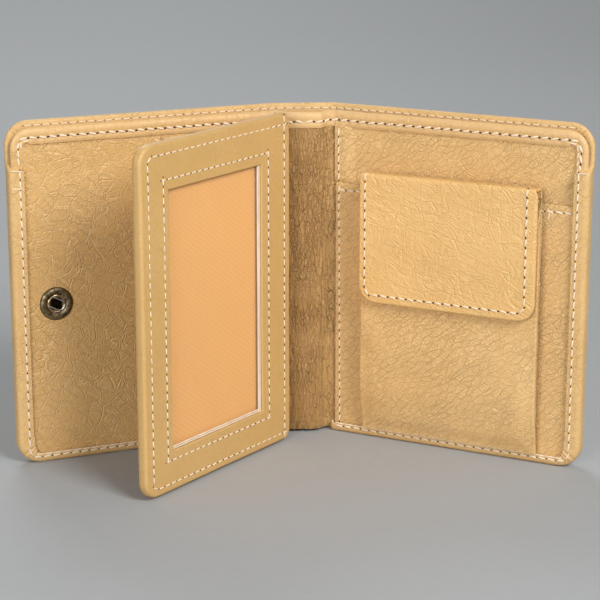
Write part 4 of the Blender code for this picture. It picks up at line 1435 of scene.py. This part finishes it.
columns = lines((PAGE_LOW.x + PAGE_INSET) / MM, 0.9, window_left, 1.6, window_right, 0.9,
                (PAGE_HIGH.x - PAGE_INSET) / MM)
rows = lines((PAGE_LOW.z + PAGE_INSET) / MM, 0.9, window_bottom, 1.6, window_top, 0.9,
             (PAGE_HIGH.z - PAGE_INSET) / MM)
bm = field(columns, rows, PAGE_HIGH.y, (2.2 * MM, 4.5 * MM, 4.5 * MM, 2.2 * MM))
opening = [face for face in bm.faces if by_window(face.calc_center_median())]
bmesh.ops.delete(bm, geom=opening, context="FACES")
turn_edges(bm, border(bm, lambda middle: not by_window(middle)), PAGE_INSET,
           lambda base: folded(2.6 * MM, 3.2 * MM, 1.0 * MM), -1)
window_edges = border(bm, by_window)
point_outward(bm, ends_of(window_edges), into_window)
turn_edges(bm, window_edges, 0.4 * MM, lambda base: folded(1.6 * MM, 0.9 * MM, 0.4 * MM, 4), -1)
for vertex in bm.verts:
    vertex.co.y += page_wave(vertex.co)
page_front = make_piece(bm, "page_front_leather", PAGE, [PAGE_TAN, RAW_EDGE], SOFT_PLY)
print("page in mm", [round(v / MM, 1) for v in PAGE_HIGH - PAGE_LOW])

# %% [markdown]
# ### Back leather of the page
#
# A second, softly creased leather closes the page's back and carries the stud. It is the same kind of
# sheet, facing the other way, with a thin turned edge all round. A mirrored copy of the front would bring
# its window along, so it is laid out anew.

# %% Back leather of the page
bm = field(lines(0.9, 1.2, PAGE_HIGH.x / MM - 0.9),
           lines(PAGE_LOW.z / MM + 0.9, 1.2, PAGE_HIGH.z / MM - 0.9), -PAGE_HIGH.y,
           (2.2 * MM, 4.6 * MM, 4.6 * MM, 2.2 * MM))
bmesh.ops.reverse_faces(bm, faces=bm.faces)
back_calm = held_inside((0, 0), (PAGE_HIGH.x, PAGE_HIGH.z), 5 * MM, 10 * MM)
crumple(bm, back_calm, "page back", 71.0, -1)
turn_edges(bm, border(bm, lambda middle: True), 0.4 * MM,
           lambda base: folded(1.6 * MM, 0.8 * MM, 0.38 * MM, 4), 1)
page_back = make_piece(bm, "page_back_leather", PAGE, [PAGE_TAN, RAW_EDGE], SOFT_PLY)
for piece, node in ((page_front, "page_front_frame"), (page_back, "page_back_ply")):
    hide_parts(node)
    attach(piece, "card_page")
print("page back faces", len(page_back.data.polygons))

# %% [markdown]
# ### Window, backing and welt
#
# The window is a thin clear sheet behind the frame, with twill cloth behind the card. At its left and
# bottom edges runs a narrow double line of pale plastic, the sheet's welded edge; its pale colour is partly
# the weld's own and partly painted highlight along the clear edge, and a thin dark rod beside it is painted
# shade. The sheet is never quite flat, so noise gives it waves of a tenth of a millimetre, and they bend
# its reflections. The welt could be drawn in the material, but real rods catch the light along their
# length.

# %% Window, backing and welt


def add_rod(bm, start, end, radius, finish=0, segments=10):
    """A straight round rod between two places in mm."""
    first, last = Vector(start) * MM, Vector(end) * MM
    turn = (last - first).to_track_quat("Z", "Y").to_matrix().to_4x4()
    turn.translation = (first + last) / 2
    made = bmesh.ops.create_cone(bm, cap_ends=True, segments=segments, radius1=radius * MM,
                                 radius2=radius * MM, depth=(last - first).length, matrix=turn)
    for face in {face for vertex in made["verts"] for face in vertex.link_faces}:
        face.material_index = finish


SHEET_LOW, SHEET_HIGH = extent(PAGE, "page_window")
bm = spread(SHEET_LOW, SHEET_HIGH, 2.5, SHEET_HIGH.y)
for vertex in bm.verts:
    wave = noise.noise(Vector((vertex.co.x / (13 * MM), 3.0, vertex.co.z / (22 * MM))))
    vertex.co.y += 0.12 * MM * wave - 0.1 * MM
window_sheet = make_piece(bm, "window_sheet", PAGE, [CLEAR, SHEET_EDGE], 0.2 * MM)
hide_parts("page_window")
TWILL_LOW, TWILL_HIGH = extent(PAGE, "page_backing")
bm = spread(TWILL_LOW, TWILL_HIGH, 2.5, TWILL_HIGH.y)
backing = make_piece(bm, "backing_twill", PAGE, [PEACH_TWILL], CLOTH_THICK)
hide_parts("page_backing")
bm = bmesh.new()
welt_depth = SHEET_HIGH.y / MM + 0.12
for shift in (0.0, 0.66):
    add_rod(bm, (15.62 + shift, welt_depth, 13.6), (15.62 + shift, welt_depth, 94.9), 0.34)
    add_rod(bm, (15.2, welt_depth, 13.9 + shift), (61.2, welt_depth, 13.9 + shift), 0.3)
# A thin dark rod along the window's left edge: painted shade in the gap there.
add_rod(bm, (15.1, welt_depth, 13.5), (15.1, welt_depth, 94.9), 0.16, 1)
add_rod(bm, (61.0, welt_depth, 13.7), (61.0, welt_depth, 94.9), 0.2)
welt = make_piece(bm, "window_welt", PAGE, [SHEET_EDGE, HOLE_SHADE], 0)
for piece in (window_sheet, backing, welt):
    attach(piece, "card_page")
print("window in mm", round(window_right - window_left, 1), round(window_top - window_bottom, 1))

# %% [markdown]
# ### Hinge strip
#
# The page hangs on a strip of dark leather, which is sewn to the spine's lining and goes between the
# page's plies. It is led along a smooth curve in plan. Its free part is a little
# wavy, because nothing holds it flat there. A cloth simulation could find that shape, but a curve gives
# the same result each time.

# %% Hinge strip
STRIP_LOW, STRIP_HIGH = extent(PAGE, "page_hinge_strip")
strip_plan = [(-4.9, -3.75), (-4.1, -3.3), (-2.9, -2.36), (-1.2, -1.0), (0.4, -0.1), (2.0, 0.0), (6.5, 0.0)]
strip_path = curve_through([Vector((x, y, 0)) * MM for x, y in strip_plan], 4)
strip_rows = lines(STRIP_LOW.z / MM, 1.2, STRIP_HIGH.z / MM)


def strip_spot(column, row):
    spot = strip_path[column]
    wave = 0.22 * MM * noise.noise(Vector((spot.x / (3 * MM), 4.0, strip_rows[row] / (11 * MM))))
    return Vector((spot.x, spot.y + 0.4 * MM + wave * smooth(0, -2 * MM, spot.x), strip_rows[row]))


bm = shaped(len(strip_path) - 1, len(strip_rows) - 1, strip_spot)
bmesh.ops.reverse_faces(bm, faces=bm.faces)
strip = make_piece(bm, "hinge_strip_leather", PAGE, [SPINE_BROWN, RAW_EDGE], 0.8 * MM)
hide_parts("page_hinge_strip")
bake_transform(strip)
print("hinge strip height in mm", round((STRIP_HIGH.z - STRIP_LOW.z) / MM, 1))

# %% [markdown]
# ## Press stud
#
# The socket's ring is turned brass with a bright rubbed rim. It could be built from stacked cylinders,
# but a lathe cuts one profile all round, so that profile is spun round its axis. The spring wire and the
# cap behind it are the plain solids of the frame, in steel and in near-black metal, which is painted shade.

# %% Turned brass


def turned(name, profile, leaf, centre, finishes, steps, bright):
    """Spins a profile of (radius, depth) points in mm round the leaf's depth axis. The second finish is
    on the faces whose radius in mm is between the two bright ones."""
    bm = bmesh.new()
    points = [bm.verts.new((centre.x + radius * MM, depth * MM, centre.z)) for radius, depth in profile]
    edges = [bm.edges.new(pair) for pair in zip(points, points[1:])]
    bmesh.ops.spin(bm, geom=points + edges, cent=(centre.x, 0, centre.z), axis=(0, 1, 0), angle=math.tau,
                   steps=steps, use_merge=True)
    bmesh.ops.remove_doubles(bm, verts=bm.verts, dist=0.001 * MM)
    bmesh.ops.recalc_face_normals(bm, faces=bm.faces)
    for face in bm.faces:
        spot = face.calc_center_median()
        radius = math.hypot(spot.x - centre.x, spot.z - centre.z) / MM
        face.material_index = 1 if bright[0] < radius < bright[1] else 0
    return make_piece(bm, name, leaf, finishes, 0, None, 32)


ring_profile = [(2.3, 4.2), (2.25, 4.8), (2.32, 5.02), (2.55, 5.14), (2.8, 5.12), (2.95, 5.02), (3.1, 5.04),
                (3.35, 5.2), (3.8, 5.37), (4.3, 5.4), (4.75, 5.28), (5.1, 5.05), (5.32, 4.8), (5.4, 4.58),
                (5.3, 4.52), (4.6, 4.5), (3.3, 4.5), (3.3, 3.8), (2.3, 3.8), (2.3, 4.2)]
ring = turned("socket_ring_brass", ring_profile, LEFT, SNAP_PLACE, [BRASS, BRIGHT_BRASS], 72, (2.28, 2.9))
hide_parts("snap_socket_ring")
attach(ring, "left_cover")
print("ring faces", len(ring.data.polygons))

# %% [markdown]
# ### The socket's mouth
#
# Inside the ring the brass goes down into a hole that is nearly square, whose deep faces are a near-black
# metal, painted shade. A round grid is led down in steps, and its radius goes from that of a circle to that
# of a square. Cutting with a second solid would give the same hole, but it would leave faces that shade
# badly.

# %% Square mouth of the socket
CUP_SIDES = 48
CUP_RADIUS = 2.29
CUP_STEPS = [(1.0, 4.86, 0.0), (0.94, 4.86, 0.3), (0.78, 4.8, 1.0), (0.76, 4.7, 1.0), (0.75, 3.8, 1.0),
             (0.3, 3.7, 1.0), (0.01, 3.7, 1.0)]


def cup_spot(column, row):
    share, depth, square = CUP_STEPS[row]
    angle = column / CUP_SIDES * math.tau + 0.5
    corner = 1 / max(abs(math.cos(angle)), abs(math.sin(angle)))
    radius = CUP_RADIUS * share * blend_between(1.0, min(corner, 1.25), square)
    return SNAP_PLACE + Vector((radius * math.cos(angle) * MM, depth * MM - SNAP_PLACE.y,
                                radius * math.sin(angle) * MM))


bm = shaped(CUP_SIDES, len(CUP_STEPS) - 1, cup_spot)
bmesh.ops.remove_doubles(bm, verts=bm.verts, dist=0.002 * MM)
# The deep faces take the near-black cavity metal: painted shade.
for face in bm.faces:
    deep = sum(vertex.co.y for vertex in face.verts) / len(face.verts) < 4.75 * MM
    face.material_index = 1 if deep else 0
cup = make_piece(bm, "socket_cup", LEFT, [BRASS, CAVITY_SHADE], 0, None, 30)
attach(cup, "left_cover")
print("mouth faces", len(cup.data.polygons))

# %% [markdown]
# ### Stud on the page
#
# The socket's mate is on the back of the page: a flange, a waist and a ball that the spring wire snaps
# round, riveted to a disc behind the leather. It is turned metal too, so its profile is spun like the
# ring's, and the end of its ball is rubbed bright.

# %% Stud on the page
STUD_PLACE = sum(extent(PAGE, "page_stud"), Vector()) / 2
stud_profile = [(0.02, -3.68), (0.6, -3.66), (0.95, -3.5), (1.18, -3.2), (1.2, -2.95), (1.05, -2.6),
                (0.72, -2.35), (0.66, -2.2), (0.8, -2.08), (1.6, -2.04), (2.7, -1.98), (2.9, -1.88),
                (2.9, -1.78), (0.65, -1.78), (0.65, -0.95), (3.3, -0.95), (3.4, -0.8), (3.3, -0.64),
                (0.02, -0.62)]
stud = turned("page_stud_brass", stud_profile, PAGE, STUD_PLACE, [BRASS, BRIGHT_BRASS], 48, (0.0, 1.0))
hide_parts("page_stud")
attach(stud, "card_page")
print("stud faces", len(stud.data.polygons))

# %% [markdown]
# ## Seams
#
# The rows are sewn where the plies are held: along the turned border, through the hems, down the pocket
# edges, round the flap and round the page and its window. Rows that cross a bend are laid out flat and
# bent with the leather they are in.

# %% Rows round the border and the binding
HEM_SEAM = 108.4
LOW_SEAM = 2.15
SIDE_SEAM = 84.5
TACKS = {"left": (95.2, 89.6), "right": (95.2,)}


def finish_seam(bm, name, leaf, bend=None):
    """One piece of all the thread and needle holes in bm."""
    return make_piece(bm, name, leaf, [THREAD, HOLE_SHADE], 0, bend, 60)


for side in COVERS:
    bm = bmesh.new()
    round_border = rounded_line([(3, LOW_SEAM, 0), (SIDE_SEAM, LOW_SEAM, 3.4), (SIDE_SEAM, 95.5, 0)])
    top_hem = rounded_line([(-CREASE / MM, HEM_SEAM, 0), (82, HEM_SEAM, 0)])
    inner_row = rounded_line([(3, 3.0, 0), (82.6, 3.0, 0)])
    sew(bm, on_leaf(round_border, LIP_FACE), INWARDS)
    sew(bm, on_leaf(round_border, 0), OUTWARDS)
    sew(bm, on_leaf(inner_row, LIP_FACE - 0.12 * MM), INWARDS, "inner")
    sew(bm, on_leaf(top_hem, HEM_THICK), INWARDS, "hem")
    sew(bm, on_leaf(top_hem, 0), OUTWARDS, "hem")
    for height in TACKS[side]:
        add_bead(bm, Vector((85.6 * MM, LIP_FACE, height * MM)), Vector((1, 0, 0.08)).normalized(), INWARDS,
                 (1.9 * MM, 0.2 * MM, 0.2 * MM), 0)
    border_seam = finish_seam(bm, side + "_border_seam", COVERS[side], wrap_over_crease(side))
    bend_with(border_seam, side)
    bm = bmesh.new()
    edge_line = binding_line(side)
    hem_row = [binding_spot(base, outward, -3.05, 4.12) for base, outward in edge_line]
    corner_row = [binding_spot(base, outward, -4.3, 4.0) for base, outward in edge_line if outward.x > 0.05]
    sew(bm, hem_row, INWARDS, "binding")
    sew(bm, corner_row, INWARDS, "gather")
    binding_seam = finish_seam(bm, side + "_binding_seam", COVERS[side], wrap_over_channel(side)[0])
    bend_channel(binding_seam, side)
print("stitches so far", STITCH_COUNT)

# %% [markdown]
# ### Raw lip inside the border
#
# The border's turned strip ends in a cut edge, which shows as a pale line along the panel. A material
# can't show it alone, because the thin rim would be lost in the fold. So a fine rod follows the edge and
# has the colour of cut leather.

# %% Raw lip inside the border
for side in COVERS:
    bm = bmesh.new()
    lip_line = rounded_line([(3, 2.95, 0), (83.1, 2.95, 3.0), (83.1, 9, 0)])
    for before, after in zip(lip_line, lip_line[1:]):
        first, last = [(point.x / MM, LIP_FACE / MM - 0.3, point.z / MM) for point in (before, after)]
        add_rod(bm, first, last, 0.24, 0, 8)
    lip_edge = make_piece(bm, side + "_lip_edge", COVERS[side], [RAW_EDGE], 0, None, 60)
    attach(lip_edge, side + "_cover")
print("lip rods a side", len(lip_line) - 1)

# %% [markdown]
# ### Rows on the slip pockets
#
# The right pocket's mouth is sewn along its top, and the edges at the spine are sewn on both covers. A few
# single tacks hold the ends of the pockets, where fingers pull at them. All of them lie on a cover, so
# they need no bend and simply ride with it.

# %% Rows on the slip pockets


def sew_straight(bm, start, end, depth, kind="plain"):
    """Sews a straight row on a leaf's inner side, between two (along, height) places in mm."""
    sew(bm, on_leaf(rounded_line([(*start, 0), (*end, 0)]), depth), INWARDS, kind)


bm = bmesh.new()
pocket_top = extent(RIGHT, "right_slip_pocket")[1].z / MM
sew_straight(bm, (2.8, pocket_top - 2.3), (83, pocket_top - 2.3), POCKET_FACE)
sew_straight(bm, (3.4, pocket_top - 0.6), (4.1, 3.2), POCKET_FACE, "close")
sew_straight(bm, (3.0, 102.4), (3.2, pocket_top + 0.6), RAISED_FACE, "close")
add_bead(bm, Vector((75.0 * MM, POCKET_FACE, (pocket_top - 3.8) * MM)), Vector((0.35, 0, 0.94)), INWARDS,
         (1.3 * MM, 0.2 * MM, 0.2 * MM), 0)
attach(finish_seam(bm, "right_pocket_seam", RIGHT), "right_cover")
bm = bmesh.new()
pocket_edge = extent(LEFT, "left_slip_pocket")[0].x
for step in range(3):
    place = Vector((pocket_edge + 1.1 * MM, POCKET_FACE, (98.6 + 1.3 * step) * MM))
    add_bead(bm, place, Vector((0.9, 0, 0.43)).normalized(), INWARDS, (1.0 * MM, 0.2 * MM, 0.22 * MM), 0)
sew_straight(bm, (84.5, 96.6), (84.5, 101.4), POCKET_FACE)
sew_straight(bm, (3.0, 102.4), (3.6, 3.4), RAISED_FACE, "close")
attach(finish_seam(bm, "left_pocket_seam", LEFT), "left_cover")
print("stitches so far", STITCH_COUNT)

# %% [markdown]
# ### Rows on the flap and the page
#
# One row runs just inside the flap's rim, and over the bend it is led along the same path as the leather.
# The page has a row all round, one at its strip, and one beside each edge of the window. They are set on
# the waves of the page's front, so that no stitch sinks in or floats.

# %% Rows on the flap and the page
bm = bmesh.new()
flap_row = rounded_line([(15.95, 90.6, 0), (15.95, 50.5, 3.4), (70.4, 50.5, 3.4), (70.4, 90.6, 0)])
sew(bm, on_leaf(flap_row, FLAP_FACE), INWARDS, "flap")
bend_flap(finish_seam(bm, "flap_seam", RIGHT, over_the_top))
bm = bmesh.new()
page_rows = [rounded_line([(1.6, 3.4, 0), (70.4, 3.4, 2.6), (70.4, 105.7, 2.6), (1.6, 105.7, 0)]),
             rounded_line([(3.3, 1.3, 0), (3.3, 108.9, 0)]),
             rounded_line([(10.8, 10.8, 0), (64.6, 10.8, 0)]),
             rounded_line([(10.8, 98, 0), (64.6, 98, 0)]),
             rounded_line([(11.8, 9.8, 0), (11.8, 99.0, 0)]),
             rounded_line([(63.5, 9.8, 0), (63.5, 99.0, 0)])]
for row in page_rows:
    front_row = [Vector((point.x, PAGE_HIGH.y + page_wave(point), point.z)) for point in row]
    sew(bm, front_row, INWARDS, "page")
for row in page_rows[:2]:
    sew(bm, on_leaf(row, -PAGE_HIGH.y), OUTWARDS, "page back")
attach(finish_seam(bm, "page_seam", PAGE), "card_page")
print("stitches in all", STITCH_COUNT)

# %% [markdown]
# ## Hidden solids
#
# The boards, the magnet, the keeper and the cap are inside the wallet, and the spring wire is a plain bent
# wire. They could be made again as meshes, but the frame's own solids already have their shape, so each
# only gets a finish.

# %% Finishes of the frame's own solids
# The socket's cap takes the near-black cavity metal, which is painted shade.
KEPT = {"left_stiffener_board": BOARD, "right_stiffener_board": BOARD, "coin_flap_magnet": STEEL,
        "coin_pocket_keeper": STEEL, "snap_socket_cap": CAVITY_SHADE, "snap_spring": STEEL}
for node, finish in KEPT.items():
    NODES[node].data.materials.clear()
    NODES[node].data.materials.append(finish)
print("kept nodes", list(KEPT))

# %% [markdown]
# ## Floor
#
# The wallet stands on a pale paper sweep that curves up behind it, so there is no horizon. A plane with a
# grey background would give a hard line where they meet. The paper's grey is set against the
# photograph, with faint fibres so that it isn't dead flat.

# %% Floor
SWEEP_START = 0.8
SWEEP_RADIUS = 0.9
SWEEP_STEPS = 12
PAPER = mottled("paper_sweep", ((166, 169, 171), (164, 167, 169), (169, 172, 174)), 4 * MM, 0.85)
sweep = [Vector((0, y, 0)) for y in (-1.6, -0.9, -0.4, 0.0, 0.4, SWEEP_START)]
for step in range(1, SWEEP_STEPS + 1):
    angle = step / SWEEP_STEPS * math.pi / 2
    sweep.append(Vector((0, SWEEP_START + SWEEP_RADIUS * math.sin(angle),
                         SWEEP_RADIUS - SWEEP_RADIUS * math.cos(angle))))
sweep += [Vector((0, 1.7, z)) for z in (1.4, 2.2)]
bm = shaped(4, len(sweep) - 1, lambda column, row: sweep[row] + Vector((1.3 * (column - 2), 0, 0)))
floor_mesh = bpy.data.meshes.new("floor")
bm.to_mesh(floor_mesh)
bm.free()
floor_mesh.materials.append(PAPER)
floor_mesh.shade_smooth()
floor = bpy.data.objects.new("floor", floor_mesh)
bpy.context.scene.collection.objects.link(floor)
print("floor", len(floor_mesh.polygons), "faces")
